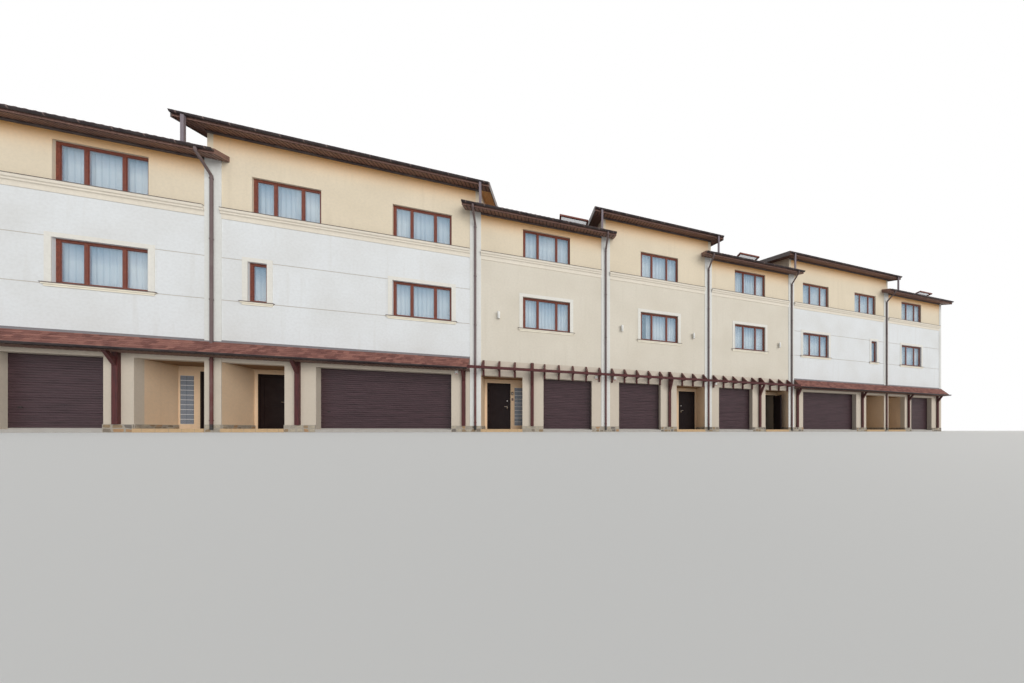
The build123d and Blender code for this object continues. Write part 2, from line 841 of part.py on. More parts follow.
def ridge_caps():
    """A bent cap over the ridge of each roof, a little above the tiles."""
    pieces = []
    for house in HOUSES:
        low_x, high_x = house.whole()
        if house.high:
            x_range = (low_x - HIGH_VERGE, high_x + HIGH_VERGE)
        else:
            left = -ROW_HALF - END_VERGE if house.letter == "a" else low_x + HALF_PARTY
            right = ROW_HALF + END_VERGE if house.letter == "g" else high_x - HALF_PARTY
            x_range = (left, right)
        profile = []
        for step, lift in ((-1, 0), (0, 0), (1, 0), (1, 1), (0, 1), (-1, 1)):
            y = RIDGE_Y + step * RIDGE_REACH
            z = underside(house.eaves, y) + ROOF_THICKNESS + lift * RIDGE_THICKNESS
            profile.append((y, z))
        pieces.append(prism(profile, x_range))
    return pieces


def eaves_span(house):
    """X range of the eaves and the gutter of one house."""
    low_x, high_x = house.whole()
    run = HIGH_VERGE if house.high else LOW_EAVES_RUN
    left = low_x - (END_VERGE if house.letter == "a" else run)
    right = high_x + (END_VERGE if house.letter == "g" else run)
    return left, right


def gutter(x_range, y_back, z_top, toward):
    """A half-round channel with closed ends, which hangs in front of y_back."""
    centre = y_back + toward * GUTTER_RADIUS
    length = x_range[1] - x_range[0]
    ring = Plane.YZ.offset(x_range[0]) * Pos(centre, z_top) * Circle(GUTTER_RADIUS)
    bowl = extrude(ring, amount=length)
    inside = Plane.YZ.offset(x_range[0] + GUTTER_SKIN) * Pos(centre, z_top)
    inner = inside * Circle(GUTTER_RADIUS - GUTTER_SKIN)
    bowl -= extrude(inner, amount=length - 2 * GUTTER_SKIN)
    over = sorted((centre - 2 * GUTTER_RADIUS, centre + 2 * GUTTER_RADIUS))
    bowl -= block((x_range[0] - 1, x_range[1] + 1), tuple(over), (z_top, z_top + 2 * GUTTER_RADIUS))
    return bowl


def gutter_rim(eaves):
    return underside(eaves, -EAVES_OVERHANG) + GUTTER_LIP


def roof_gutters():
    pieces = []
    for house in HOUSES:
        rim = gutter_rim(house.eaves)
        pieces.append(gutter(eaves_span(house), -EAVES_OVERHANG, rim, -1))
        pieces.append(gutter(eaves_span(house), DEPTH + EAVES_OVERHANG, rim, 1))
    return pieces


def barge_boards():
    """Boards along the verges of the high roofs and of both ends of the row."""
    pieces = []
    for house in HOUSES:
        left, right = eaves_span(house)
        sides = []
        if house.high or house.letter == "a":
            sides.append((left - BARGE_THICKNESS, left))
        if house.high or house.letter == "g":
            sides.append((right, right + BARGE_THICKNESS))
        for x_range in sides:
            profile = []
            for y, lift in (
                (-EAVES_OVERHANG, -BARGE_DROP),
                (RIDGE_Y, -BARGE_DROP),
                (DEPTH + EAVES_OVERHANG, -BARGE_DROP),
                (DEPTH + EAVES_OVERHANG, ROOF_THICKNESS + FLASHING),
                (RIDGE_Y, ROOF_THICKNESS + FLASHING),
                (-EAVES_OVERHANG, ROOF_THICKNESS + FLASHING),
            ):
                profile.append((y, underside(house.eaves, y) + lift))
            pieces.append(prism(profile, x_range))
    return pieces


def downpipes():
    """From the end of a low gutter, back to the wall between two houses and down it."""
    pieces = []
    wall_y = -PILASTER_THICKNESS - PIPE_CLIP_RADIUS - SEAT_GAP
    gutter_y = -EAVES_OVERHANG - GUTTER_RADIUS
    outlet = gutter_rim(LOW_EAVES) - GUTTER_RADIUS
    for x in BOUNDARIES:
        neck_top = outlet - PIPE_BEND
        neck_foot = neck_top - PIPE_SWAN_NECK
        points = [
            (x, gutter_y, outlet),
            (x, gutter_y, neck_top),
            (x, wall_y, neck_foot),
            (x, wall_y, PIPE_END),
        ]
        path = FilletPolyline(*points, radius=PIPE_BEND)
        pipe = sweep(Plane(origin=points[0], z_dir=(0, 0, -1)) * Circle(PIPE_RADIUS), path=path)
        lowest = PLINTH_TOP + PIPE_CLIP_MARGIN
        spacing = (neck_foot - PIPE_CLIP_MARGIN - lowest) / (PIPE_CLIPS - 1)
        for clip in range(PIPE_CLIPS):
            level = lowest + clip * spacing
            pipe += rod((x, wall_y, level), (x, wall_y, level + PIPE_CLIP_HEIGHT), PIPE_CLIP_RADIUS)
        pieces.append(pipe)
    return pieces


def gutter_spouts():
    """Square pipes that lead the high gutters down into the low ones."""
    pieces = []
    top = gutter_rim(HIGH_EAVES) - GUTTER_RADIUS
    bottom = gutter_rim(LOW_EAVES) - SPOUT_DIP
    centre = -EAVES_OVERHANG - GUTTER_RADIUS
    y_range = (centre - SPOUT_SIDE / 2, centre + SPOUT_SIDE / 2)
    for house in HOUSES:
        if not house.high:
            continue
        left, right = eaves_span(house)
        for x in (left + SPOUT_FROM_END, right - SPOUT_FROM_END):
            pieces.append(block((x - SPOUT_SIDE / 2, x + SPOUT_SIDE / 2), y_range, (bottom, top)))
    return pieces


def roof_window_houses():
    return [house for house in HOUSES if house.letter in ROOF_WINDOW_SHIFTS]


def roof_plane(house, up_slope):
    """A plane on top of the front slope, with its Y axis up the slope."""
    centre = sum(house.whole()) / 2 + ROOF_WINDOW_SHIFTS[house.letter]
    origin = (centre, up_slope, underside(house.eaves, up_slope) + ROOF_THICKNESS)
    normal = (0, -math.sin(math.radians(PITCH)), math.cos(math.radians(PITCH)))
    return Plane(origin=origin, x_dir=(1, 0, 0), z_dir=normal)


def roof_window_kerbs():
    pieces = []
    inner_x = ROOF_WINDOW_WIDTH - 2 * ROOF_WINDOW_BAR
    inner_y = ROOF_WINDOW_LENGTH - 2 * ROOF_WINDOW_BAR
    for house in roof_window_houses():
        ring = Rectangle(ROOF_WINDOW_WIDTH, ROOF_WINDOW_LENGTH) - Rectangle(inner_x, inner_y)
        plane = roof_plane(house, ROOF_WINDOW_UP_SLOPE)
        pieces.append(extrude(plane * ring, amount=ROOF_WINDOW_KERB))
    return pieces


def sash_place(house):
    """The sash is hinged at the top of its kerb and stands open."""
    plane = roof_plane(house, ROOF_WINDOW_UP_SLOPE)
    hinge = Pos(0, ROOF_WINDOW_LENGTH / 2, ROOF_WINDOW_KERB) * Rot(-ROOF_WINDOW_OPEN, 0, 0)
    return plane.location * hinge * Pos(0, -ROOF_WINDOW_LENGTH / 2, SEAT_GAP)


def roof_window_sashes():
    pieces = []
    bar = ROOF_WINDOW_BAR
    for house in roof_window_houses():
        ring = Rectangle(ROOF_WINDOW_WIDTH, ROOF_WINDOW_LENGTH)
        ring -= Rectangle(ROOF_WINDOW_WIDTH - 2 * bar, ROOF_WINDOW_LENGTH - 2 * bar)
        pieces.append(sash_place(house) * extrude(ring, amount=bar))
    return pieces


def roof_window_panes():
    pieces = []
    for house in roof_window_houses():
        bar = ROOF_WINDOW_BAR
        pane = Box(ROOF_WINDOW_WIDTH - 2 * bar, ROOF_WINDOW_LENGTH - 2 * bar, GLASS_THICKNESS)
        pieces.append(sash_place(house) * Pos(0, 0, bar / 2) * pane)
    return pieces


# Canopies over houses A and B, and over F and G


def canopy_spans():
    edge = C_E_SIDE + PILASTER_WIDTH / 2
    return (-ROW_HALF, -edge), (edge, ROW_HALF)


def canopy(x_range):
    """A lean-to roof with a level soffit, cut away round the pipe that passes through."""
    profile = [
        (0, CANOPY_SOFFIT),
        (0, CANOPY_WALL_TOP),
        (-CANOPY_DEPTH, CANOPY_SOFFIT + CANOPY_FASCIA),
        (-CANOPY_DEPTH, CANOPY_SOFFIT),
    ]
    roof = prism(profile, x_range)
    half = PILASTER_WIDTH / 2
    pipe_room = (-PILASTER_THICKNESS - 2 * PIPE_CLIP_RADIUS - 1, 1)
    for x in BOUNDARIES:
        if x_range[0] < x < x_range[1]:
            roof -= block((x - half, x + half), pipe_room, (CANOPY_SOFFIT - 1, CANOPY_WALL_TOP + 1))
    if x_range[1] == ROW_HALF:
        strip = (ROW_HALF - half, ROW_HALF + 1)
        roof -= block(strip, (-PILASTER_THICKNESS, 1), (CANOPY_SOFFIT - 1, CANOPY_WALL_TOP + 1))
    return roof


def canopy_gutters():
    pieces = []
    for x_range in canopy_spans():
        pieces.append(gutter(x_range, -CANOPY_DEPTH, CANOPY_SOFFIT + CANOPY_FASCIA, -1))
    return pieces


# Timber posts, brackets and beam


def brace(x_range, out, bottom, top):
    """A slanted strut from the face of a post out to what it carries."""
    foot = -POST_DEPTH
    profile = [
        (foot, bottom),
        (foot, bottom + POST_BRACE_TALL),
        (-out + POST_BRACE_TALL / 2, top),
        (-out, top),
    ]
    return prism(profile, x_range)


def posts():
    """Each post stands on the plinth, against the wall, with its knee brace."""
    pieces = []
    for house in HOUSES:
        for distance in house.posts:
            x_range = house.around(distance, POST_WIDTH)
            strut = house.around(distance, POST_BRACE_WIDTH)
            if house.kind == "narrow":
                post = block(x_range, (-POST_DEPTH, 0), (PLINTH_TOP, BRACKET_TOP))
                pieces.append(post + brace(strut, BEAM_OUT, POST_BRACE_FROM, BEAM_BOTTOM))
            else:
                post = block(x_range, (-POST_DEPTH, 0), (PLINTH_TOP, CANOPY_SOFFIT))
                pieces.append(
                    post + brace(strut, CANOPY_BRACE_OUT, CANOPY_BRACE_FROM, CANOPY_SOFFIT)
                )
    return pieces


def pergola_brackets():
    """Thin timber arms on wall battens, tall at the wall and low at the beam."""
    pieces = []
    for house in HOUSES:
        if house.kind != "narrow":
            continue
        for index in range(BRACKETS):
            x_range = house.around(bracket_distance(index), BRACKET_WIDTH)
            if index == POST_BRACKET:
                profile = [(-POST_DEPTH, BEAM_BOTTOM), (-POST_DEPTH, BRACKET_TOP)]
            else:
                profile = [(-BRACKET_BATTEN, BEAM_BOTTOM), (-BRACKET_BATTEN, BRACKET_BOTTOM)]
                profile += [(0, BRACKET_BOTTOM), (0, BRACKET_TOP)]
            profile += [(-BEAM_OUT, BEAM_TOP), (-BEAM_OUT, BEAM_BOTTOM)]
            pieces.append(prism(profile, x_range))
    return pieces


def pergola_beam():
    left = canopy_spans()[0][1]
    right = canopy_spans()[1][0]
    return [block((left, right), (-BEAM_OUT - BEAM_DEPTH, -BEAM_OUT), (BEAM_BOTTOM, BEAM_TOP))]


# Small things on the walls


def wall_lamps():
    """Upright cylinders on a short arm, over each porch of the middle houses."""
    pieces = []
    for house in HOUSES:
        if house.kind != "narrow":
            continue
        places = [PORCH_LAMP_FROM]
        if house.letter == "d":
            places.append(NARROW_WIDTH - GARAGE_LAMP_FROM_FAR)
        for distance in places:
            x = house.around(distance, 0)[0]
            y = -LAMP_ARM - LAMP_RADIUS
            low = LAMP_HEIGHT - LAMP_LENGTH / 2
            body = rod((x, y, low), (x, y, low + LAMP_LENGTH), LAMP_RADIUS)
            arm = rod((x, 0, LAMP_HEIGHT), (x, y, LAMP_HEIGHT), LAMP_ARM_RADIUS)
            pieces.append(body + arm)
    return pieces


def alarm_boxes():
    pieces = []
    for house in HOUSES:
        if house.letter not in ALARM_PLACES:
            continue
        from_side, level = ALARM_PLACES[house.letter]
        x_range = house.around(house.width - from_side, ALARM_WIDTH)
        z_range = (level, level + ALARM_HEIGHT)
        pieces.append(block(x_range, (-ALARM_DEPTH, 0), z_range))
    return pieces


def main():
    os.makedirs("parts", exist_ok=True)
    parts = {
        "ground_slab": ground_slab(),
        "first_floor": floor_slabs(FIRST_FLOOR),
        "second_floor": floor_slabs(SECOND_FLOOR),
        "party_walls": party_walls(),
        "end_walls": end_walls(),
        "front_walls_low": front_walls(False),
        "front_walls_high": front_walls(True),
        "rear_walls_low": rear_walls(False),
        "rear_walls_high": rear_walls(True),
        "front_piers": front_piers(),
        "porch_side_walls": porch_side_walls(),
        "porch_ceilings": porch_ceilings(),
        "porch_back_walls": porch_back_walls(),
        "porch_heads": porch_heads(),
        "porch_steps": porch_steps(),
        "glass_blocks": glass_blocks(),
        "entrance_frames": entrance_frames(),
        "garage_doors": garage_doors(),
        "garage_rails": garage_rails(),
        "garage_thresholds": garage_thresholds(),
        "window_frames": window_frames(),
        "window_glass": window_glass(),
        "window_bands": window_bands(),
        "window_sills": window_sills(),
        "cornices": cornices(),
        "cornice_flashings": cornice_flashings(),
        "pilasters": pilasters(),
        "plinth": plinth(),
        "roofs_front": roof_slopes(False),
        "roofs_rear": roof_slopes(True),
        "ridge_caps": ridge_caps(),
        "roof_gutters": roof_gutters(),
        "barge_boards": barge_boards(),
        "downpipes": downpipes(),
        "gutter_spouts": gutter_spouts(),
        "roof_window_kerbs": roof_window_kerbs(),
        "roof_window_sashes": roof_window_sashes(),
        "roof_window_panes": roof_window_panes(),
        "canopies": [canopy(x_range) for x_range in canopy_spans()],
        "canopy_gutters": canopy_gutters(),
        "posts": posts(),
        "pergola_brackets": pergola_brackets(),
        "pergola_beam": pergola_beam(),
        "wall_lamps": wall_lamps(),
        "alarm_boxes": alarm_boxes(),
    }
    for house in HOUSES[:TURNING_DOORS]:
        parts[f"entrance_door_{house.letter}"] = [entrance_door(house)]
    parts["far_entrance_doors"] = [entrance_door(house) for house in HOUSES[TURNING_DOORS:]]
    for name, solids in parts.items():
        save(name, solids)


main()
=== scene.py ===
# %% [markdown]
# # A row of seven houses, dressed for its portrait
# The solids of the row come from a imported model: walls, roofs, doors and pipes, in metres, at half
# the real size. This lesson gives them the finish that a walker on the street would see: render,
# stone, tiles, stained timber and glass. Each step says what the real thing is, how it could be
# made, and why this way was chosen.

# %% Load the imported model
import bmesh
import bpy
import math
import numpy as np
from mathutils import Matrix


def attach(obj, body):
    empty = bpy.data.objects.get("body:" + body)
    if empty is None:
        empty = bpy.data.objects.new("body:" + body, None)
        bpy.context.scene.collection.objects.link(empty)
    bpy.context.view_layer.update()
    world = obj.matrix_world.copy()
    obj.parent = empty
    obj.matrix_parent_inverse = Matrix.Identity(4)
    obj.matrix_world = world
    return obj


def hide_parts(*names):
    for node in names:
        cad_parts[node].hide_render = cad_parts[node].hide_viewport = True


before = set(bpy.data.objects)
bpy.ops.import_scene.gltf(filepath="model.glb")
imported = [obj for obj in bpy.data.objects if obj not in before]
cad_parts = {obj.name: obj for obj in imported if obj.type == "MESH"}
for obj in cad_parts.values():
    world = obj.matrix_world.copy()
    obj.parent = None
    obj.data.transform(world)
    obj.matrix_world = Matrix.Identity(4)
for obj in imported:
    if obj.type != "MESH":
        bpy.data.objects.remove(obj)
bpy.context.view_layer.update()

# %% [markdown]
# ## Where things are
# Seven houses, A to G, stand along X with the street on the -Y side. Each has a porch side, from
# which distances run along the front, to the left or to the right. Writing that down once gives
# every later piece its place in one line of arithmetic.

# %% The plan of the row
NARROW, WIDE, END = 2.740, 3.935, 2.815
DEPTH = 5.000
FRONT, REAR = (0.0, -1), (DEPTH, 1)
SIDE_LINE = 1.5 * NARROW
FAR_LINE = SIDE_LINE + WIDE
ROW_HALF = FAR_LINE + END
PORCH_SIDES = {
    "a": (-FAR_LINE, -1, END),
    "b": (-FAR_LINE, 1, WIDE),
    "c": (-SIDE_LINE, 1, NARROW),
    "d": (NARROW / 2, -1, NARROW),
    "e": (SIDE_LINE, -1, NARROW),
    "f": (FAR_LINE, -1, WIDE),
    "g": (FAR_LINE, 1, END),
}
BOUNDARIES = [-FAR_LINE, -SIDE_LINE, -NARROW / 2, NARROW / 2, SIDE_LINE, FAR_LINE]
HIGH_HOUSES = "bdf"
MIDDLE_HOUSES = "cde"
STEP_TOP, PLINTH_TOP, CANOPY_HIGH = 0.062, 0.130, 1.550
CORNICE_BOTTOM, CORNICE_TOP = 3.650, 3.820
LOW_EAVES, HIGH_EAVES = 4.640, 5.110
SLOPE = math.tan(math.radians(15.6))
ROOF_THICK, EAVES_OUT = 0.090, 0.285
VERGE, EAVES_RUN, END_VERGE, VERGE_WALL = 0.285, 0.200, 0.110, 0.075
PILASTER_HALF = 0.1025


def on_front(letter, distance):
    """X at a distance from the porch side of a house: side plus direction times distance."""
    side, direction, _ = PORCH_SIDES[letter]
    return side + direction * distance


def along_front(letter, near, far):
    """X range between two distances from the porch side."""
    ends = (on_front(letter, near), on_front(letter, far))
    return min(ends), max(ends)


def house_span(letter, run=0.0, end_run=0.0):
    """X range of a house, longer by a run at its sides and by another at the row's ends."""
    low, high = along_front(letter, 0, PORCH_SIDES[letter][2])
    low -= end_run if letter == "a" else run
    return low, high + (end_run if letter == "g" else run)


def eaves_span(letter):
    """X range of a house's eaves."""
    return house_span(letter, VERGE if letter in HIGH_HOUSES else EAVES_RUN, END_VERGE)


def eaves_level(letter):
    """Height of a house's eaves at the wall."""
    return HIGH_EAVES if letter in HIGH_HOUSES else LOW_EAVES


def porch_depth(letter):
    """Depth of a porch, from the front to its back wall."""
    return 0.525 if letter in MIDDLE_HOUSES else 0.700


def underside(eaves, y):
    """Height under a roof: the eaves level plus the slope times the distance to the nearer face."""
    return eaves + np.minimum(y, DEPTH - y) * SLOPE


print("row", round(2 * ROW_HALF, 3), "m long")

# %% [markdown]
# ## The camera
# The photographer stood low, in front of house C, and looked a little to the right. The frame's
# verticals are parallel, which means that the camera was level and its lens was shifted upwards,
# as on a view camera. Tilting the camera instead would make the walls lean.

# %% Place the camera
scene = bpy.context.scene
lens = bpy.data.cameras.new("street_view")
lens.sensor_width = 36.0
lens.lens = 11.705
lens.shift_x = -0.1465
lens.shift_y = 0.0870
lens.clip_start = 0.01
lens.clip_end = 200.0
camera = bpy.data.objects.new("street_view", lens)
camera.location = (-2.821, -7.916, 0.03)
camera.rotation_euler = (math.radians(90), 0, math.radians(-20))
scene.collection.objects.link(camera)
scene.camera = camera
scene.view_settings.view_transform = "Standard"
print("camera", round(-camera.location.y, 3), "m from the front, lens", round(lens.lens, 3), "mm")

# %% [markdown]
# ## Small tools for finishes
# A finish is a little machine of nodes, and so is the sky. One helper adds a node with its values
# and wires in a single call, and short ones beside it do the sums and blends that come up again and
# again. Another turns a colour written as on a paint chart into the light values that Blender
# counts in.


# %% Helpers for node trees
def paint(red, green, blue):
    """Linear colour of a display colour: ((c + 0.055) / 1.055) to the power 2.4, or c / 12.92."""
    channels = np.array([red, green, blue]) / 255.0
    linear = np.where(channels > 0.04045, ((channels + 0.055) / 1.055) ** 2.4, channels / 12.92)
    return (*linear.tolist(), 1.0)


class Wiring:
    """A node tree in the making; most of its tools add a node and give the node's result."""

    def __init__(self, tree):
        self.tree = tree

    def feed(self, socket, value):
        """Gives a socket its value, either a wire from another socket or a constant."""
        if isinstance(value, bpy.types.NodeSocket):
            self.tree.links.new(value, socket)
        else:
            socket.default_value = value

    def add(self, kind, inputs=None, **settings):
        """The outputs of a new node with these settings, constants and wires."""
        node = self.tree.nodes.new("ShaderNode" + kind)
        for key, value in settings.items():
            setattr(node, key, value)
        for key, value in (inputs or {}).items():
            self.feed(node.inputs[key], value)
        return node.outputs

    def sum(self, operation, first, second=0.0, third=0.0):
        """The result of one sum on values of the surface."""
        return self.add("Math", {0: first, 1: second, 2: third}, operation=operation)[0]

    def above(self, value, limit):
        """1 where a value is above a limit, and 0 elsewhere."""
        return self.sum("GREATER_THAN", value, limit)

    def below(self, value, limit):
        """1 where a value is below a limit, and 0 elsewhere."""
        return self.sum("LESS_THAN", value, limit)

    def product(self, first, *others):
        """Values multiplied; a product of masks is 1 where all of them are 1."""
        for other in others:
            first = self.sum("MULTIPLY", first, other)
        return first

    def between(self, value, low, high):
        """1 where a value lies between two limits, and 0 elsewhere."""
        return self.product(self.above(value, low), self.below(value, high))

    def away(self, value, centre):
        """How far a value is from a centre."""
        return self.sum("ABSOLUTE", self.sum("SUBTRACT", value, centre))

    def joint(self, value, size, limit):
        """1 in the joints of a row of cells, where the place in a cell is far from its middle."""
        cell = self.sum("FRACT", self.sum("DIVIDE", value, size))
        return self.above(self.away(cell, 0.5), limit)

    def blend(self, mask, first, second):
        """The first colour where the mask is 0, the second where it is 1."""
        return self.add("Mix", {0: mask, 6: first, 7: second}, data_type="RGBA")[2]

    def limits(self, value, low, high):
        """A mask that rises from 0 to 1 while a value goes from low to high."""
        inputs = {"Value": value, "From Min": low, "From Max": high}
        return self.add("MapRange", inputs, clamp=True)[0]

    def noise(self, scale, detail, place=None, distortion=0.0):
        """Cloudy values from 0 to 1, with this many clouds to the metre."""
        inputs = {"Vector": place or self.place, "Scale": scale, "Detail": detail}
        return self.add("TexNoise", {**inputs, "Distortion": distortion})[0]

    def drawn(self, scale):
        """The place multiplied by a scale for each axis; a small one draws a pattern out."""
        return self.add("Mapping", {"Vector": self.place, "Scale": scale})[0]

    def stored(self, name):
        """A value that is stored on the points of the mesh."""
        return self.add("Attribute", attribute_name=name)["Fac"]


print("paint(215, 218, 217) is", [round(channel, 3) for channel in paint(215, 218, 217)])

# %% [markdown]
# ## Light
# A hazy bright day is one large soft source. A low, wide sun lamp lights the front evenly, with
# hardly any shade under the eaves, and the world fills it. The panes would mirror the lamp's disc, so
# no reflection shows it. A warmer lamp, low behind the row on the right, lights the rear and the
# underside of the verges. The world is plain white where the camera, a reflection or a pane looks at
# it, so that the backdrop doesn't depend on how strongly it lights.

# %% Build the light
HAZE = math.radians(50)
world = bpy.data.worlds.new("overcast")
scene.world = world
world.use_nodes = True
world.node_tree.nodes.clear()
sky = Wiring(world.node_tree)
rays = sky.add("LightPath")
seen = sky.sum("MAXIMUM", rays["Is Camera Ray"], rays["Is Glossy Ray"])
seen = sky.sum("MAXIMUM", seen, rays["Is Transmission Ray"])
fill = sky.add("Background", {"Color": (0.93, 0.96, 1.0, 1.0), "Strength": 0.43})[0]
backdrop = sky.add("Background", {"Color": (1.0, 1.0, 1.0, 1.0), "Strength": 1.0})[0]
sky.add("OutputWorld", {"Surface": sky.add("MixShader", {0: seen, 1: fill, 2: backdrop})[0]})


def add_lamp(name, strength, colour, tilt, turn):
    """A sun lamp as wide as the haze, tilted from straight down and then turned, in degrees."""
    light = bpy.data.lights.new(name, "SUN")
    light.energy = strength
    light.color = colour
    light.angle = HAZE
    lamp = bpy.data.objects.new(name, light)
    lamp.rotation_euler = (math.radians(tilt), 0, math.radians(turn))
    scene.collection.objects.link(lamp)
    return lamp


add_lamp("soft_sun", 2.6, (1.0, 0.98, 0.95), 78, 30).visible_glossy = False
add_lamp("back_fill", 1.5, (1.0, 0.93, 0.83), -80, -58)
print("lamps:", len(bpy.data.lights), "sky nodes:", len(world.node_tree.nodes))

# %% [markdown]
# ## Finishes and groups
# What several finishes share, such as wear, grain or dust, is a group of nodes: it takes the place of
# a point and some values, and gives a colour, a roughness and a height. A finish places a group with
# its own values, changes its colour where it has to, and ends in one surface shader.


# %% Helpers for finishes and groups
class Group(Wiring):
    """A group of nodes that takes Place and named values, and gives the three results."""

    def __init__(self, name, **values):
        super().__init__(bpy.data.node_groups.new(name, "ShaderNodeTree"))
        sockets = self.tree.interface
        sockets.new_socket("Place", in_out="INPUT", socket_type="NodeSocketVector")
        for key, value in values.items():
            kind = "NodeSocketColor" if isinstance(value, tuple) else "NodeSocketFloat"
            sockets.new_socket(key, in_out="INPUT", socket_type=kind).default_value = value
        for key, kind in (("Colour", "Color"), ("Roughness", "Float"), ("Height", "Float")):
            sockets.new_socket(key, in_out="OUTPUT", socket_type="NodeSocket" + kind)
        self.given = self.tree.nodes.new("NodeGroupInput").outputs
        self.place = self.given["Place"]

    def done(self, colour, roughness, height):
        """Wires the three results and gives the group."""
        results = self.tree.nodes.new("NodeGroupOutput").inputs
        for socket, value in zip(results, (colour, roughness, height)):
            self.tree.links.new(value, socket)
        print("group", self.tree.name, "has", len(self.tree.nodes), "nodes")
        return self.tree


class Finish(Wiring):
    """A material in the making, with its surface shader and the place of each point."""

    def __init__(self, name):
        self.material = bpy.data.materials.new(name)
        self.material.use_nodes = True
        super().__init__(self.material.node_tree)
        self.place = self.add("TexCoord")["Object"]

    def axes(self):
        """The place of each point as three values, x, y and z."""
        return self.add("SeparateXYZ", {0: self.place})

    def through(self, group, **values):
        """The colour, roughness and height that a group gives for these values."""
        return self.add("Group", {"Place": self.place, **values}, node_tree=group)

    def done(self, colour, roughness, height=None, depth=0.001, strength=1.0, **constants):
        """Wires the surface shader, with a height as a bump of this depth in metres."""
        surface = self.tree.nodes["Principled BSDF"].inputs
        self.feed(surface["Base Color"], colour)
        self.feed(surface["Roughness"], roughness)
        if height is not None:
            bump = {"Height": height, "Distance": depth, "Strength": strength}
            self.feed(surface["Normal"], self.add("Bump", bump)[0])
        for key, value in constants.items():
            surface[key.replace("_", " ")].default_value = value
        print("finish", self.material.name, "has", len(self.tree.nodes), "nodes")
        return self.material


DULL = {"Specular_IOR_Level": 0.25}

# %% [markdown]
# ## Weathered render
# The walls are covered in fine-grained coloured render. Up close it is a field of small crumbs and
# trowel marks, from further off it shows faint clouds where rain has washed it and thin streaks
# below ledges. One group makes all four from noise at four sizes, and each wall finish gives it its
# colour.

# %% The render group
look = Group("weathered_render", Colour=(0.7, 0.6, 0.5, 1), Stain=(0.4, 0.35, 0.3, 1), Wear=0.2)
clouds = look.limits(look.noise(1.1, 4.0), 0.42, 0.72)
streaks = look.limits(look.noise(1.0, 3.0, look.drawn((9.0, 9.0, 0.6))), 0.52, 0.80)
dirt = look.product(look.sum("MAXIMUM", clouds, streaks), look.given["Wear"])
colour = look.blend(dirt, look.given["Colour"], look.given["Stain"])
crumbs = look.noise(260.0, 2.0)
crumb_mask = look.product(look.limits(crumbs, 0.35, 0.75), 0.09)
colour = look.blend(crumb_mask, colour, (0.25, 0.22, 0.18, 1))
trowel_mask = look.product(look.limits(look.noise(26.0, 3.0), 0.4, 0.65), 0.08)
colour = look.blend(trowel_mask, colour, (0.34, 0.32, 0.29, 1))
weathered = look.done(colour, look.sum("MULTIPLY_ADD", crumbs, 0.15, 0.78), crumbs)

# %% [markdown]
# ## Wall colours by storey
# The same wall changes colour with height: beige at the ground, white in the middle of the outer
# houses and warm cream under the roof. Close to the eaves the cream is painted orange, as painted warm
# light.
# Splitting the mesh would be one way. Reading the height and the place along the row of each point
# is simpler, and it also lays the shallow level grooves of the white storey where they belong.

# %% The wall finish
GROUND_BEIGE, WHITE_RENDER = paint(206, 195, 180), paint(226, 229, 231)
MIDDLE_BEIGE, UPPER_CREAM = paint(219, 212, 198), paint(226, 213, 190)
GROUND_TOP, GROOVE_LEVELS, GROOVE_HALF, EAVES_LIGHT_REACH = 1.52, (2.262, 2.985), 0.0055, 0.6
look = Finish("wall_render")
x, y, z = look.axes()
offset = look.away(x, 0.0)
outer = look.above(offset, SIDE_LINE - 0.05)
middle = look.blend(outer, MIDDLE_BEIGE, WHITE_RENDER)
lower = look.blend(look.above(z, GROUND_TOP), GROUND_BEIGE, middle)
colour = look.blend(look.above(z, CORNICE_BOTTOM), lower, UPPER_CREAM)
in_high = look.sum("ADD", look.between(offset, SIDE_LINE, FAR_LINE), look.below(offset, NARROW / 2))
eaves = look.sum("MULTIPLY_ADD", in_high, HIGH_EAVES - LOW_EAVES, LOW_EAVES)
below_eaves = look.sum("SUBTRACT", eaves, z)
near_eaves = look.sum("SUBTRACT", 1.0, look.limits(below_eaves, 0.0, EAVES_LIGHT_REACH))
on_long_side = look.above(look.away(y, DEPTH / 2), DEPTH / 2 - 0.01)
under_eaves = look.above(below_eaves, -0.02)
# Painted light: the front and rear walls are painted orange close to the eaves, for the warm light there.
painted_eaves_light = look.product(look.sum("POWER", near_eaves, 3.0), on_long_side, under_eaves)
colour = look.blend(painted_eaves_light, colour, paint(255, 180, 76))
worn = look.through(weathered, Colour=colour, Stain=paint(168, 155, 132), Wear=0.16)
grooves = 0.0
for level in GROOVE_LEVELS:
    grooves = look.sum("ADD", look.below(look.away(z, level), GROOVE_HALF), grooves)
grooves = look.product(grooves, outer)
colour = look.blend(look.product(grooves, 0.55), worn["Colour"], paint(176, 160, 138))
height = look.sum("MULTIPLY_ADD", grooves, -4.0, worn["Height"])
wall_finish = look.done(colour, worn["Roughness"], height, 0.0012, **DULL)


# %% Plain rendered finishes
def render_finish(name, colour, stain, wear):
    """Render of one colour, on the weathered group."""
    look = Finish(name)
    return look.done(*look.through(weathered, Colour=colour, Stain=stain, Wear=wear), **DULL)


porch_finish = render_finish("porch_render", paint(230, 203, 172), paint(176, 148, 116), 0.18)
moulding_finish = render_finish("cream_moulding", paint(229, 221, 207), paint(184, 172, 152), 0.14)
surround_finish = render_finish("window_surround", paint(228, 226, 219), paint(190, 180, 160), 0.12)
# Painted shade: the porch ceilings are painted dark brown, for the shade they lie in.
painted_shade_ceiling = render_finish("porch_ceiling", paint(140, 108, 76), paint(110, 82, 56), 0.25)
concrete_finish = render_finish("concrete", paint(186, 182, 174), paint(130, 126, 118), 0.45)

# %% The pilaster finish
look = Finish("pilaster_render")
x, y, z = look.axes()
beige = look.product(look.above(look.away(x, 0.0), SIDE_LINE + 0.5), look.below(z, CANOPY_HIGH))
colour = look.blend(beige, paint(224, 225, 222), GROUND_BEIGE)
worn = look.through(weathered, Colour=colour, Stain=paint(176, 172, 160), Wear=0.18)
pilaster_finish = look.done(*worn)
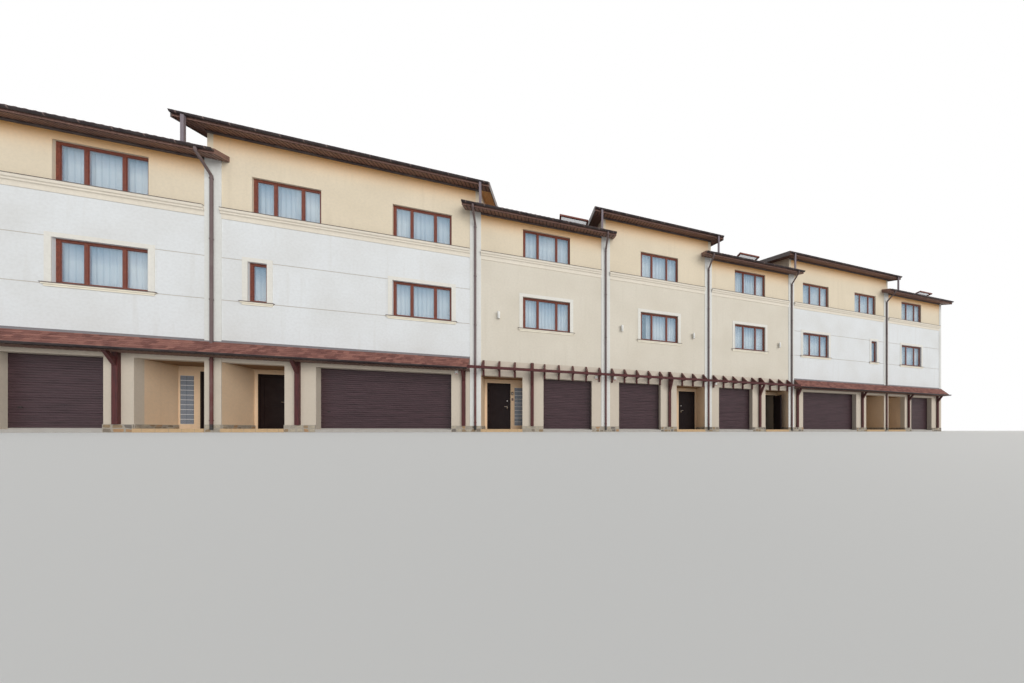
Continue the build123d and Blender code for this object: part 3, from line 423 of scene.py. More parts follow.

# %% [markdown]
# ## Wood grain
# Posts, braces and beam are stained softwood, and the window frames, roof windows and garage doors
# carry a grain too. On the garage doors the pale level streaks are partly grain and partly painted
# highlight, the sheen of their paint. Grain is noise that is squeezed across the wood and drawn out
# along it. The group leaves the direction to the finish, which stretches the place before it goes in.

# %% The grain group
look = Group("wood_grain", Dark=(0.05, 0.02, 0.01, 1), Light=(0.15, 0.05, 0.03, 1), Shine=0.45)
fibres = look.noise(1.0, 5.0, distortion=0.6)
fibres = look.sum("MULTIPLY_ADD", look.noise(5.0, 2.0), 0.35, fibres)
fibres = look.limits(fibres, 0.45, 0.85)
colour = look.blend(fibres, look.given["Dark"], look.given["Light"])
grain = look.done(colour, look.sum("MULTIPLY_ADD", fibres, 0.15, look.given["Shine"]), fibres)


def timber_finish(name, dark, light, stretch, shine=0.45, gaps=False):
    """Stained wood, its grain drawn out along the axis with the smallest stretch.

    With gaps, the value board_gap of the mesh makes the joints between boards nearly black, and the
    boards of the one verge that the low light reaches are painted paler and warmer, as painted
    sunlight.
    """
    look = Finish(name)
    wood = look.through(grain, Place=look.drawn(stretch), Dark=dark, Light=light, Shine=shine)
    colour = wood["Colour"]
    if gaps:
        x, y, z = look.axes()
        # Painted light: the underside of house B's right verge, above house C's roof, is painted pale warm
        # orange.
        painted_sunlit_verge = look.between(x, -SIDE_LINE + 0.01, -NARROW / 2 - VERGE)
        painted_sunlit_verge = look.product(painted_sunlit_verge, look.above(y, 0.0), look.above(z, LOW_EAVES + 0.25))
        colour = look.blend(painted_sunlit_verge, colour, paint(255, 204, 138))
        gap = look.limits(look.stored("board_gap"), 0.1, 0.6)
        colour = look.blend(gap, colour, paint(16, 11, 10))
    return look.done(colour, wood["Roughness"], wood["Height"], 0.0006)


STAIN = (paint(52, 20, 22), paint(88, 42, 42))
upright_timber = timber_finish("post_timber", *STAIN, (90, 90, 4))
level_timber = timber_finish("beam_timber", *STAIN, (4, 90, 90))
fin_timber = timber_finish("fin_timber", paint(56, 22, 24), paint(94, 46, 44), (90, 6, 60))
frame_finish = timber_finish("window_wood", paint(88, 40, 30), paint(128, 68, 52), (40, 60, 40), 0.35)
# Partly grain, partly painted highlight: the pale level streaks on the garage doors also stand for the
# sheen of their paint.
garage_grain_and_sheen = timber_finish("garage_wood", paint(20, 9, 12), paint(84, 62, 68), (3, 60, 210), 0.34)
soffit_finish = timber_finish(
    "soffit_wood", paint(90, 66, 62), paint(148, 114, 102), (70, 6, 60), 0.5, gaps=True
)

# %% [markdown]
# ## Painted metal
# Gutters, pipes, flashings and doors are coated steel. The coat is smooth, with a slight mottle
# where dust has settled and dried. The same helper makes them all; only colour and gloss differ.

# %% The metal group
look = Group("dusty_coat", Colour=(0.1, 0.1, 0.1, 1), Dust=(0.4, 0.36, 0.33, 1), Amount=0.2, Gloss=0.35)
settled = look.product(look.limits(look.noise(7.0, 5.0), 0.40, 0.75), look.given["Amount"])
colour = look.blend(settled, look.given["Colour"], look.given["Dust"])
roughness = look.sum("MULTIPLY_ADD", settled, 0.6, look.given["Gloss"])
coated = look.done(colour, roughness, look.noise(120.0, 2.0))


def coat_finish(name, colour, amount=0.2, gloss=0.35, dust=paint(150, 140, 134), **constants):
    """Coated sheet metal with settled dust."""
    look = Finish(name)
    coat = look.through(coated, Colour=colour, Dust=dust, Amount=amount, Gloss=gloss)
    return look.done(*coat, 0.0003, 0.4, **constants)


gutter_finish = coat_finish("gutter_coat", paint(42, 31, 34), 0.12)
strap_finish = coat_finish("strap_coat", paint(112, 92, 88), 0.3, 0.4)
flashing_finish = coat_finish("flashing_coat", paint(70, 56, 54), 0.3, 0.45)
lead_finish = coat_finish("canopy_flashing", paint(116, 112, 116), 0.3, 0.4)
door_finish = coat_finish("door_steel", paint(22, 10, 12), 0.02, 0.5, **DULL)
bright_metal = coat_finish("bright_metal", paint(200, 198, 194), 0.1, 0.22, Metallic=1.0)
rail_finish = coat_finish("rail_metal", paint(176, 172, 166), 0.35, 0.4)
white_shell = coat_finish("white_shell", paint(232, 232, 228), 0.2, 0.4)
red_lens = coat_finish("red_lens", paint(196, 44, 34), 0.05, 0.15)
roof_finish = coat_finish("roof_coat", paint(92, 60, 50), 0.25, 0.42, paint(132, 106, 96))
spout_finish = coat_finish("spout_coat", paint(118, 108, 116))
black_metal = coat_finish("lantern_black", paint(32, 30, 30), 0.15, 0.4)

# %% [markdown]
# ## Downpipes
# Each pipe is grey-brown against the upper walls and stained like the posts lower down, and ends
# in a black shoe. Three colours by height do it, with hard edges between them.

# %% The pipe finish
SHOE_TOP, STAINED_TOP = 0.135, 1.33
look = Finish("pipe_coat")
x, y, z = look.axes()
colour = look.blend(look.above(z, SHOE_TOP), paint(36, 32, 32), paint(92, 48, 46))
colour = look.blend(look.above(z, STAINED_TOP), colour, paint(100, 84, 84))
coat = look.through(coated, Colour=colour, Dust=paint(150, 142, 138), Amount=0.2)
pipe_finish = look.done(coat["Colour"], coat["Roughness"])

# %% [markdown]
# ## Glass
# A pane mirrors the pale sky and lets the curtains show. A real refracting pane would also bend the
# light that should reach the curtains, which takes long to render. A thin blue-grey film that is
# mostly clear looks the same from the street; its pale blue, lighter and darker in broad clouds, is
# painted reflection of the sky. The glass blocks beside the doors are ribbed both ways, with a pale
# joint every 88 mm up, and are painted lighter and darker across the ribs, as painted light and shade.

# %% Glass finishes
BLOCK_FOOT, BLOCK_PITCH = STEP_TOP + 0.085, 0.088
look = Finish("window_glass")
# Painted reflection: the film's pale blue, lighter and darker in broad clouds, stands for the sky mirrored
# in the pane.
painted_sky_reflection = look.limits(look.noise(1.4, 2.0), 0.35, 0.7)
colour = look.blend(painted_sky_reflection, paint(158, 190, 214), paint(196, 216, 230))
glass_finish = look.done(colour, 0.04, Alpha=0.32, Specular_IOR_Level=0.8)

look = Finish("glass_block")
x, y, z = look.axes()
ribs, rows = (look.sum("SINE", look.product(axis, 420.0)) for axis in (x, z))
ribbed = look.product(ribs, rows)
# Painted light and shade: each block is painted lighter and darker across its ribs.
painted_rib_shade = look.blend(look.limits(ribbed, -1.0, 1.0), paint(88, 96, 108), paint(150, 160, 174))
grout = look.joint(look.sum("SUBTRACT", z, BLOCK_FOOT), BLOCK_PITCH, 0.435)
colour = look.blend(grout, painted_rib_shade, paint(206, 210, 214))
block_glass = look.done(colour, look.sum("MULTIPLY_ADD", grout, 0.6, 0.12), ribbed)

# %% [markdown]
# ## Making pieces
# Every new piece is a set of points worked out at once and joined by faces. Four shapes cover most
# of a house: a net over a grid, a profile drawn out along the row, a profile led round a rectangle,
# and a block. One call turns such shapes into an object that moves with the building.


# %% Helpers for shapes
def grid_faces(rows, columns, around=False):
    """Faces between neighbours (r, c), (r, c + 1), (r + 1, c + 1), (r + 1, c) of a grid."""
    row = np.arange(rows - 1)[:, None]
    column = np.arange(columns if around else columns - 1)[None, :]
    after = (column + 1) % columns
    corners = (row * columns + column, row * columns + after)
    corners += ((row + 1) * columns + after, (row + 1) * columns + column)
    return np.stack(np.broadcast_arrays(*corners), axis=-1).reshape(-1, 4).tolist()


def tube(rings, ends=True):
    """Rings of points joined to a tube; with ends, a face closes its first and its last ring."""
    rows, size = rings.shape[:2]
    faces = grid_faces(rows, size, around=True)
    if ends:
        faces += [list(range(size)), list(range(rows * size - 1, (rows - 1) * size - 1, -1))]
    return rings.reshape(-1, 3), faces


def joined(shapes):
    """Several shapes (points, faces) as one."""
    points, faces, start = [], [], 0
    for made, sides in shapes:
        points.append(made)
        faces += [[corner + start for corner in side] for side in sides]
        start += len(made)
    return np.concatenate(points), faces


def net(x, y, z, flip=False):
    """A surface over a grid: x, y and z each vary along its rows, its columns or both."""
    points = np.stack(np.broadcast_arrays(x, y, z), axis=-1)
    faces = grid_faces(*points.shape[:2])
    return points.reshape(-1, 3), [face[::-1] for face in faces] if flip else faces


def arc(centre, radii, first, last, count):
    """(u, v) = centre plus radii times (cos, sin) of an angle between two, in degrees."""
    angle = np.radians(np.linspace(first, last, count))
    return np.asarray(centre) + np.column_stack([np.cos(angle), np.sin(angle)]) * radii


def against(outline, face, toward, level=0.0):
    """(y, z) of an outline (out, up): out from a face of the row, up from a level."""
    out, up = np.transpose(outline)
    return np.column_stack([face + toward * out, level + up])


def drawn_out(profile, ranges):
    """Points (x, y, z): (y, z) from a closed profile, x at both ends of each range, ends closed."""
    sides = [[np.insert(profile, 0, x, axis=1) for x in ends] for ends in ranges]
    return joined([tube(np.array(rings)) for rings in sides])


def led_round(profile, openings, closed):
    """Points (x, y, z) of a profile (out, y) led round rectangles, mitred at the corners.

    A corner is moved outwards by `out` on both axes. An open one stands on the lower edge.
    """
    out, depth = np.transpose(profile)
    shapes = []
    for left, right, bottom, top in openings:
        low = bottom - out if closed else np.full(len(out), bottom)
        corners = [(left - out, low), (left - out, top + out)]
        corners += [(right + out, top + out), (right + out, low)]
        corners += corners[:1] if closed else []
        rings = np.array([np.column_stack([x, depth, z]) for x, z in corners])
        shapes.append(tube(rings, ends=not closed))
    return joined(shapes)


CUBE_CORNERS = np.array([[x, y, z] for x in (0, 1) for y in (0, 1) for z in (0, 1)], float)
CUBE_FACES = [[0, 1, 3, 2], [4, 6, 7, 5], [0, 4, 5, 1], [2, 3, 7, 6], [0, 2, 6, 4], [1, 5, 7, 3]]


def repeated(faces, size, count):
    """The faces of one shape of this many points, for a number of such shapes."""
    shifts = size * np.arange(count)[:, None, None]
    return (np.array(faces)[None] + shifts).reshape(-1, 4).tolist()


def blocks(lows, highs):
    """Corners low + (high - low) times 0 or 1 on each axis, for all blocks at once."""
    lows, highs = np.asarray(lows, float), np.asarray(highs, float)
    points = lows[:, None, :] + (highs - lows)[:, None, :] * CUBE_CORNERS[None]
    return points.reshape(-1, 3), repeated(CUBE_FACES, 8, len(lows))


# %% Helpers for objects
def new_object(name, shape, finish, smooth=False):
    """One object from an array of points (x, y, z) and a list of faces."""
    mesh = bpy.data.meshes.new(name)
    mesh.from_pydata(np.asarray(shape[0]).tolist(), [], shape[1])
    mesh.materials.append(finish)
    mesh.polygons.foreach_set("use_smooth", [smooth] * len(mesh.polygons))
    mesh.update()
    made = bpy.data.objects.new(name, mesh)
    scene.collection.objects.link(made)
    print(name, "has", len(mesh.polygons), "faces")
    return made


def new_piece(name, shape, finish, body="building", smooth=False):
    """An object that moves with a body."""
    piece = new_object(name, shape, finish, smooth)
    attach(piece, body)
    return piece


def gather(name, shapes, finish, body="building", smooth=False):
    """Shapes joined into one piece, its doubled points merged and every face turned outwards."""
    piece = new_piece(name, joined(shapes), finish, body, smooth)
    shell = bmesh.new()
    shell.from_mesh(piece.data)
    bmesh.ops.remove_doubles(shell, verts=shell.verts, dist=1e-6)
    bmesh.ops.recalc_face_normals(shell, faces=shell.faces)
    shell.to_mesh(piece.data)
    shell.free()
    return piece


def mark_points(piece, name, values):
    """Stores a value on each point, for the finish to read."""
    piece.data.attributes.new(name, "FLOAT", "POINT").data.foreach_set("value", values)


def soften(piece, width, segments=2):
    """Worn edges: a bevel of this width in metres."""
    bevel = piece.modifiers.new("worn_edges", "BEVEL")
    bevel.width = width
    bevel.segments = segments
    bevel.limit_method = "ANGLE"
    bevel.harden_normals = False
    return piece


print("a block has", len(CUBE_CORNERS), "corners and", len(CUBE_FACES), "faces")

# %% [markdown]
# ## The floor
# The real row stands on a paved forecourt, which isn't part of the model. A plain pale plane takes
# its shadow. Its edge lies far away, so that it ends in a level line.

# %% The floor
FLOOR_HALF = 90.0
floor_finish = Finish("pale_floor").done(paint(226, 226, 224), 0.9)
floor_corners = [(x * FLOOR_HALF, y * FLOOR_HALF, 0) for x, y in ((-1, -1), (1, -1), (1, 1), (-1, 1))]
floor = new_object("floor", (floor_corners, [(0, 1, 2, 3)]), floor_finish)

# %% [markdown]
# ## Metal roof tiles
# The roofs are steel sheets pressed to look like tiles: waves across, and a step at each course.
# An image could fake it, but the wave shows in outline along the eaves. A surface over two
# parameters gives it: the wave depends only on x, the step only on the distance up the slope.

# %% The roof sheets
WAVE, COURSE, WAVE_DEEP, STEP_DEEP, EDGE_DROP, TILE_GAP = 0.0915, 0.175, 0.009, 0.005, 0.012, 0.0012


def tiled_slope(letter, rear):
    """z = underside + thickness + wave(x) + step(s) on a grid of x and of depth y.

    wave is WAVE_DEEP times a raised cosine, sharpened; step falls from STEP_DEEP to 0 per course.
    """
    low, high = house_span(letter, VERGE if letter in HIGH_HOUSES else -VERGE_WALL, END_VERGE)
    x = np.linspace(low, high, int((high - low) / WAVE * 6) + 1)
    courses = int(round((DEPTH / 2 + EAVES_OUT) / COURSE))
    edges = np.linspace(-EAVES_OUT, DEPTH / 2, courses + 1)
    y = np.concatenate([[-EAVES_OUT], np.repeat(edges, 2)[1:-1]])[:, None]
    lift = np.concatenate([[-EDGE_DROP], np.tile([STEP_DEEP, 0.0], courses)])[:, None]
    wave = WAVE_DEEP * (0.5 + 0.5 * np.cos(2 * np.pi * x / WAVE)) ** 0.8
    height = underside(eaves_level(letter), y) + ROOF_THICK + TILE_GAP + wave + lift
    return net(x, DEPTH - y if rear else y, height, flip=rear)


for side, rear in (("front", False), ("rear", True)):
    slopes = joined([tiled_slope(letter, rear) for letter in PORCH_SIDES])
    new_piece(f"roof_tiles_{side}", slopes, roof_finish)

# %% [markdown]
# ## Soffit boards
# Under the eaves, narrow dark boards run from the wall to the gutter, with a groove at each joint.
# Their edge pattern is what the eye reads from the street. It is one folded strip: a groove's point
# is a little higher than the boards beside it.

# %% The boards under the eaves
BOARD, GROOVE, HANG, CLEAR = 0.073, 0.026, 0.009, 0.001


def board_profile(low, high):
    """Positions and drops along a run of boards: a flat face, then a groove, repeated."""
    count = max(1, int(round((high - low) / BOARD)))
    edges = np.linspace(low, high, count + 1)[:-1]
    width = (high - low) / count
    place = (edges[:, None] + np.array([0, GROOVE / 2, width - GROOVE / 2])[None]).reshape(-1)
    drop = np.tile([CLEAR, HANG, HANG], count)
    return np.append(place, high), np.append(drop, CLEAR)


def boarded(name, runs):
    """Boards over nets of (x, y, level, drop, flip); each point stores how deep in a joint it is."""
    shapes = [net(x, y, level - drop, flip) for x, y, level, drop, flip in runs]
    gaps = [np.broadcast_arrays(x, y, 1 - drop / HANG)[2].ravel() for x, y, level, drop, flip in runs]
    piece = new_piece(name, joined(shapes), soffit_finish)
    mark_points(piece, "board_gap", np.concatenate(gaps))


soffit_runs = []
for letter in PORCH_SIDES:
    eaves = eaves_level(letter)
    low, high = house_span(letter)
    verges = ((low - VERGE, low - VERGE_WALL), (high + VERGE_WALL, high + VERGE))
    for rear in (False, True):
        x, drop = board_profile(*eaves_span(letter))
        y = np.array([[-EAVES_OUT + CLEAR], [0.0]])
        soffit_runs.append((x, DEPTH - y if rear else y, underside(eaves, y), drop, not rear))
    for verge in verges if letter in HIGH_HOUSES else ():
        for rear in (False, True):
            y, drop = (values[:, None] for values in board_profile(0.0, DEPTH / 2))
            x = np.array(verge)
            soffit_runs.append((x, DEPTH - y if rear else y, underside(eaves, y), drop, not rear))
boarded("soffit_boards", soffit_runs)

# %% The board under the soffit
MOULDING = [(0, -0.050), (0.016, -0.050), (0.030, -0.032), (0.030, -0.017), (0, -0.009)]
moulding_shapes = []
for letter in PORCH_SIDES:
    reach = VERGE_WALL if letter in HIGH_HOUSES else -PILASTER_HALF
    low, high = house_span(letter)
    run = (low if letter == "a" else low - reach, high + reach)
    for face, toward in (FRONT, REAR):
        section = against(MOULDING, face, toward, eaves_level(letter))
        moulding_shapes.append(drawn_out(section, [run]))
gather("eaves_mouldings", moulding_shapes, flashing_finish)

# %% [markdown]
# ## Gutters and straps
# A gutter is thin sheet bent to a half circle, with a rolled bead along its front edge, and it hangs
# in flat steel straps. From the street the straps read as a row of ticks. The sheet is one section
# drawn out along the eave, and each strap is a strip bent round the same centre.

# %% Gutter sections
GUTTER_MIDDLE, GUTTER_SINK = 0.033, 0.004
AXIS = (0, -GUTTER_SINK)
BEAD = arc((0.0290, -GUTTER_SINK), 0.0035, 0, 288, 9)
SHEET = np.concatenate([arc(AXIS, 0.0305, 180, 360, 13)[:-1], BEAD, arc(AXIS, 0.0285, 360, 180, 13)])
CLOSING = arc(AXIS, 0.0300, 180, 360, 13)
STRAP_HALF, STRAP_IN, STRAP_OUT, STRAP_DEEP = 0.008, 0.0308, 0.0327, 0.029
STRAP_FIRST, STRAP_STEP, RIM_RISE, CLOSING_THICK = 0.08, 0.30, 0.062, 0.002
print("gutter section:", len(SHEET), "points")


def gutter_straps(spans, y_back, rim, toward):
    """Strips on the arc (y, z) = centre + radius times (cos, -sin) of an angle from 0 to 180."""
    angle = np.linspace(0, np.pi, 9)
    inner = [(-STRAP_HALF, STRAP_IN), (STRAP_HALF, STRAP_IN)]
    outer = [(STRAP_HALF, STRAP_OUT), (-STRAP_HALF, STRAP_OUT)]
    shapes = []
    for low, high in spans:
        for x in np.linspace(low + STRAP_FIRST, high - STRAP_FIRST, int((high - low) / STRAP_STEP)):
            ring = []
            for offset, radius in inner + outer:
                y = y_back + toward * (GUTTER_MIDDLE - radius * np.cos(angle))
                z = rim - GUTTER_SINK - np.minimum(radius * np.sin(angle), STRAP_DEEP)
                ring.append(np.column_stack([np.full(9, x + offset), y, z]))
            shapes.append(tube(np.stack(ring, axis=1)))
    return shapes


def hang_gutters(spans, y_back, rim, toward):
    """The sheets and the closing plates of some gutters, as shapes, and their straps."""
    ends = []
    for low, high in spans:
        ends += [(low, low + CLOSING_THICK), (high - CLOSING_THICK, high)]
    centre = y_back + toward * GUTTER_MIDDLE
    sheets = [drawn_out(against(SHEET, centre, toward, rim), spans)]
    sheets.append(drawn_out(against(CLOSING, centre, toward, rim), ends))
    return sheets, gutter_straps(spans, y_back, rim, toward)


# %% The gutters
sheet_shapes, strap_shapes = [], []
for eaves in (LOW_EAVES, HIGH_EAVES):
    spans = [eaves_span(letter) for letter in PORCH_SIDES if eaves_level(letter) == eaves]
    for y_back, toward in ((-EAVES_OUT, -1), (DEPTH + EAVES_OUT, 1)):
        sheets, straps = hang_gutters(spans, y_back, eaves - EAVES_OUT * SLOPE + RIM_RISE, toward)
        sheet_shapes += sheets
        strap_shapes += straps
bent_gutters = gather("bent_gutters", sheet_shapes, gutter_finish)
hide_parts("roof_gutters")
gather("gutter_straps", strap_shapes, strap_finish)
print("straps:", len(strap_shapes))

# %% [markdown]
# ## Canopy shingles
# The lean-to roofs over the ground floor carry red-brown bitumen shingles in six courses, each tab
# a slightly different shade. Each tab is a thin slab that lies on the one below, so its lower edge
# throws a small shadow. The shade of a tab is stored on its points, so it stays with the tab.

# %% The shingle finish
look = Finish("shingles")
crumb = look.noise(300.0, 2.0)
patch = look.noise(14.0, 3.0)
mottle = look.limits(look.sum("MULTIPLY_ADD", patch, 0.5, look.stored("tab_shade")), 0.15, 1.1)
tabs = look.blend(mottle, paint(104, 66, 62), paint(162, 114, 102))
colour = look.blend(look.product(look.limits(crumb, 0.4, 0.7), 0.35), tabs, paint(88, 54, 46))
shingle_finish = look.done(colour, 0.88, crumb)

# %% The shingles
CANOPY_LOW, CANOPY_OUT = 1.303, 0.275
CANOPY_SPANS = ((-ROW_HALF, -SIDE_LINE - PILASTER_HALF), (SIDE_LINE + PILASTER_HALF, ROW_HALF))
COURSES, TAB, TAB_GAP = 6, 0.085, 0.0015
TAB_FACES = [[0, 1, 3, 2], [6, 4, 5, 7], [0, 6, 7, 1], [2, 3, 5, 4], [0, 2, 4, 6], [1, 7, 5, 3]]


def shingle_tabs():
    """Slabs on the slope: (y, z) = edge + s times (out, rise) + lift times the slope's normal."""
    rise = CANOPY_HIGH - CANOPY_LOW
    length = math.hypot(rise, CANOPY_OUT)
    up = np.array([CANOPY_OUT, rise]) / length
    normal = np.array([-rise, CANOPY_OUT]) / length
    step = length / COURSES
    random = np.random.default_rng(11)
    tabs, shades = [], []
    for left, right in CANOPY_SPANS:
        for course in range(COURSES):
            for x in np.arange(left - (TAB / 2 if course % 2 else 0), right, TAB):
                near, far = max(x, left) + TAB_GAP, min(x + TAB, right) - TAB_GAP
                if far - near > 0.01:
                    tabs.append((near, far, course * step))
                    shades.append(random.uniform(0, 0.75))
    near, far, s = np.array(tabs).T
    corners = []
    for distance, lift in ((s - 0.002, 0.0), (s + step, 0.0), (s + step, 0.001), (s - 0.002, 0.006)):
        y = -CANOPY_OUT + distance * up[0] + lift * normal[0]
        z = CANOPY_LOW + distance * up[1] + lift * normal[1]
        corners += [np.column_stack([near, y, z]), np.column_stack([far, y, z])]
    points = np.stack(corners, axis=1).reshape(-1, 3)
    return (points, repeated(TAB_FACES, 8, len(tabs))), np.repeat(shades, 8)


shape, shades = shingle_tabs()
shingles = new_piece("canopy_shingles", shape, shingle_finish)
mark_points(shingles, "tab_shade", shades)
print("shingle tabs:", len(shades) // 8)

# %% [markdown]
# ## Canopy trim
# Where a canopy meets the wall, a grey sheet-metal strip covers the joint. Below, its soffit is
# boarded like the eaves. Both are profiles drawn out along the row.

# %% The canopy trim
CANOPY_SOFFIT = 1.275
strip = [(0, 1.545), (-0.026, 1.527), (-0.029, 1.530), (-0.006, 1.556), (-0.003, 1.574), (0, 1.574)]
gather("canopy_wall_flashings", [drawn_out(strip, CANOPY_SPANS)], lead_finish)
canopy_depths = np.array([[-CANOPY_OUT + CLEAR], [-CLEAR]])
canopy_profiles = [board_profile(*span) for span in CANOPY_SPANS]
canopy_runs = [(x, canopy_depths, CANOPY_SOFFIT, drop, True) for x, drop in canopy_profiles]
boarded("canopy_soffit_boards", canopy_runs)
sheets, straps = hang_gutters(CANOPY_SPANS, -CANOPY_OUT, CANOPY_LOW, -1)
canopy_channels = gather("canopy_channels", sheets, gutter_finish)
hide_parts("canopy_gutters")
gather("canopy_gutter_straps", straps, gutter_finish)

# %% [markdown]
# ## Cornice
# The band between the two upper storeys is a moulding: a fillet, a hollow and a rounded nose. In
# the solids it is three steps. Here its true section is drawn out along each run, from one
# pilaster to the next. The hollow and the nose are quarters of an ellipse.

# %% The cornice moulding
hollow = arc((0.030, 3.690), (0.020, 0.040), 180, 90, 6)
nose = arc((0.034, 3.786), (0.020, 0.024), -90, 0, 6)
cornice_outline = [[0, 3.650], [0.010, 3.650], [0.010, 3.690], *hollow[1:], [0.034, 3.734]]
cornice_outline += [[0.034, 3.762], *nose[1:], [0.054, 3.813], [0, 3.813]]
edges = [-ROW_HALF - PILASTER_HALF] + BOUNDARIES + [ROW_HALF]
cornice_runs = [(left + PILASTER_HALF, right - PILASTER_HALF) for left, right in zip(edges, edges[1:])]
cornice_shapes = [drawn_out(against(cornice_outline, *face), cornice_runs) for face in (FRONT, REAR)]
cornice = gather("cornice_moulding", cornice_shapes, moulding_finish)
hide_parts("cornices")
print("cornice runs:", len(cornice_runs))

# %% [markdown]
# ## Windows
# Each window is a brown frame with three lights: two narrow ones beside a wide one. The real
# joinery has a frame with a stepped rebate and in it a sash with a rounded edge. Both are one
# profile led round a rectangle, with the corners mitred as a joiner would.

# %% The window list
MIDDLE_SILL, GROUND_SILL = 2.277, 0.560
SPLIT_HOUSES, END_HOUSES = "bf", "ag"


def house_windows(letter):
    """(centre, width) of the middle and of the upper windows, from the porch side."""
    if letter in SPLIT_HOUSES:
        over_garage = (WIDE - 0.935, 1.000)
        return [(0.555, 0.250), over_garage], [(0.950, 0.940), over_garage]
    centre = 1.250 if letter in END_HOUSES else NARROW / 2 + (0 if letter == "d" else 0.050)
    return [(centre, 1.000)], [(centre, 1.000)]


def opening(letter, window, bottom, top):
    """(left, right, bottom, top) of a window with this (centre, width)."""
    centre, width = window
    return (*along_front(letter, centre - width / 2, centre + width / 2), bottom, top)


middle_openings, upper_openings, ground_openings = [], [], []
for letter in PORCH_SIDES:
    middles, uppers = house_windows(letter)
    middle_openings += [opening(letter, window, MIDDLE_SILL, 2.972) for window in middles]
    upper_openings += [opening(letter, window, CORNICE_TOP, 4.464) for window in uppers]
    ground_openings.append(opening(letter, middles[-1], GROUND_SILL, 1.255))
front_openings = middle_openings + upper_openings
rear_openings = front_openings + ground_openings
print("windows:", len(front_openings), "in front,", len(rear_openings), "behind")


# %% The joinery
FRAME_AT, FRAME_DEEP, BAR, HALF_MULLION = 0.045, 0.040, 0.046, 0.026


def lights_of(opening):
    """The lights of one window, as rectangles between the bars."""
    left, right, bottom, top = opening
    width = right - left
    spans = [(left + BAR, right - BAR)]
    if width >= 0.5:
        cuts = (left + 0.3 * width, right - 0.3 * width)
        spans = [(left + BAR, cuts[0] - HALF_MULLION), (cuts[0] + HALF_MULLION, cuts[1] - HALF_MULLION)]
        spans.append((cuts[1] + HALF_MULLION, right - BAR))
    return [(low, high, bottom + BAR, top - BAR) for low, high in spans]


def joinery(openings, face, toward):
    """Frame bars and sashes: two profiles (out, y) led round each opening and each light."""
    near, far = face - toward * FRAME_AT, face - toward * (FRAME_AT + FRAME_DEEP)
    bars = [(0, far), (0, near), (-0.016, near), (-0.0202, near - toward * 0.004), (-0.0202, far)]
    proud, rebate = near - toward * 0.001, near - toward * 0.018
    sash = [(0.0258, far), (0.0258, proud), (0.007, proud), (-0.002, rebate), (-0.002, far)]
    lights = [light for opening in openings for light in lights_of(opening)]
    return [led_round(bars, openings, closed=True), led_round(sash, lights, closed=True)]


for side, openings, face in (("front", front_openings, FRONT), ("rear", rear_openings, REAR)):
    made = gather(f"window_joinery_{side}", joinery(openings, *face), frame_finish)
    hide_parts("window_frames")

# %% [markdown]
# ## Surrounds
# The middle windows stand in flat cream surrounds with a thin raised lip along the opening. It is
# the profile-round-a-rectangle again, but open at the foot, where it stands on the sill.

# %% The surrounds
SURROUND = [(0.0, 0.0), (0.0, 0.011), (0.014, 0.011), (0.016, 0.008), (0.072, 0.008), (0.072, 0.0)]
low_openings = middle_openings + ground_openings
for side, openings, (face, toward) in (("front", middle_openings, FRONT), ("rear", low_openings, REAR)):
    band = led_round([(out, face + toward * proud) for out, proud in SURROUND], openings, closed=False)
    made = gather(f"window_surrounds_{side}", [band], surround_finish)
    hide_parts("window_bands")

# %% [markdown]
# ## Curtains
# Light curtains hang behind the panes of the front, gathered into upright folds. Each is a sheet of
# cloth, wider than it looks, so its fold is a wave in depth, and its real width is the length of
# that wave. It hangs from a thin rail in the window opening, behind the frame. Each point stores how
# far it has fallen from the rail, since the finish is greyer up there, in the shade of the lintel.

# %% The curtain finish
look = Finish("curtain_cloth")
soft = look.limits(look.noise(3.0, 2.0), 0.3, 0.7)
cloth = look.blend(soft, paint(238, 240, 240), paint(250, 250, 248))
in_shade = look.sum("SUBTRACT", 1.0, look.limits(look.stored("fall"), 0.02, 0.45))
cloth = look.blend(look.product(in_shade, 0.9), cloth, paint(116, 146, 172))
curtain_finish = look.done(cloth, 0.95, look.noise(500.0, 1.0), 0.0004)

# %% The curtains
RAIL_AT, RAIL_DROP, RAIL_RADIUS = 0.118, 0.018, 0.006
FOLD_DEEP, SWAY_DEEP, SWAY = 0.0125, 0.005, 0.37


def hang_curtain(name, left, right, bottom, top, seed):
    """y = rail + fold(x) times (0.7 + 0.3 fall); fold sums two sines, fall goes from rail to hem."""
    random = np.random.default_rng(seed)
    phase, count = random.uniform(0, 6.28), (right - left) / random.uniform(0.062, 0.095)
    u = np.linspace(0, 1, int(count * 10))
    fall = np.linspace(0, 1, 10)[:, None]
    fold = FOLD_DEEP * np.sin(2 * np.pi * count * u + phase)
    fold = fold + SWAY_DEEP * np.sin(2 * np.pi * count * SWAY * u + 2 * phase)
    y = RAIL_AT + fold * (0.7 + 0.3 * fall)
    points, faces = net(left + (right - left) * u, y, top + (bottom - top) * fall)
    steps = np.diff(points.reshape(10, -1, 3), axis=1)
    width = float(np.linalg.norm(steps, axis=-1).sum(axis=1).mean())
    piece = new_piece(name, (points, faces), curtain_finish, smooth=True)
    mark_points(piece, "fall", np.broadcast_to(fall, y.shape).ravel())
    return width


def drawn_back(left, bottom):
    """How far a curtain is drawn back from the left jamb, most at the middle house's middle window."""
    return 0.17 if abs(left) < NARROW / 2 and bottom < 3.0 else 0.006


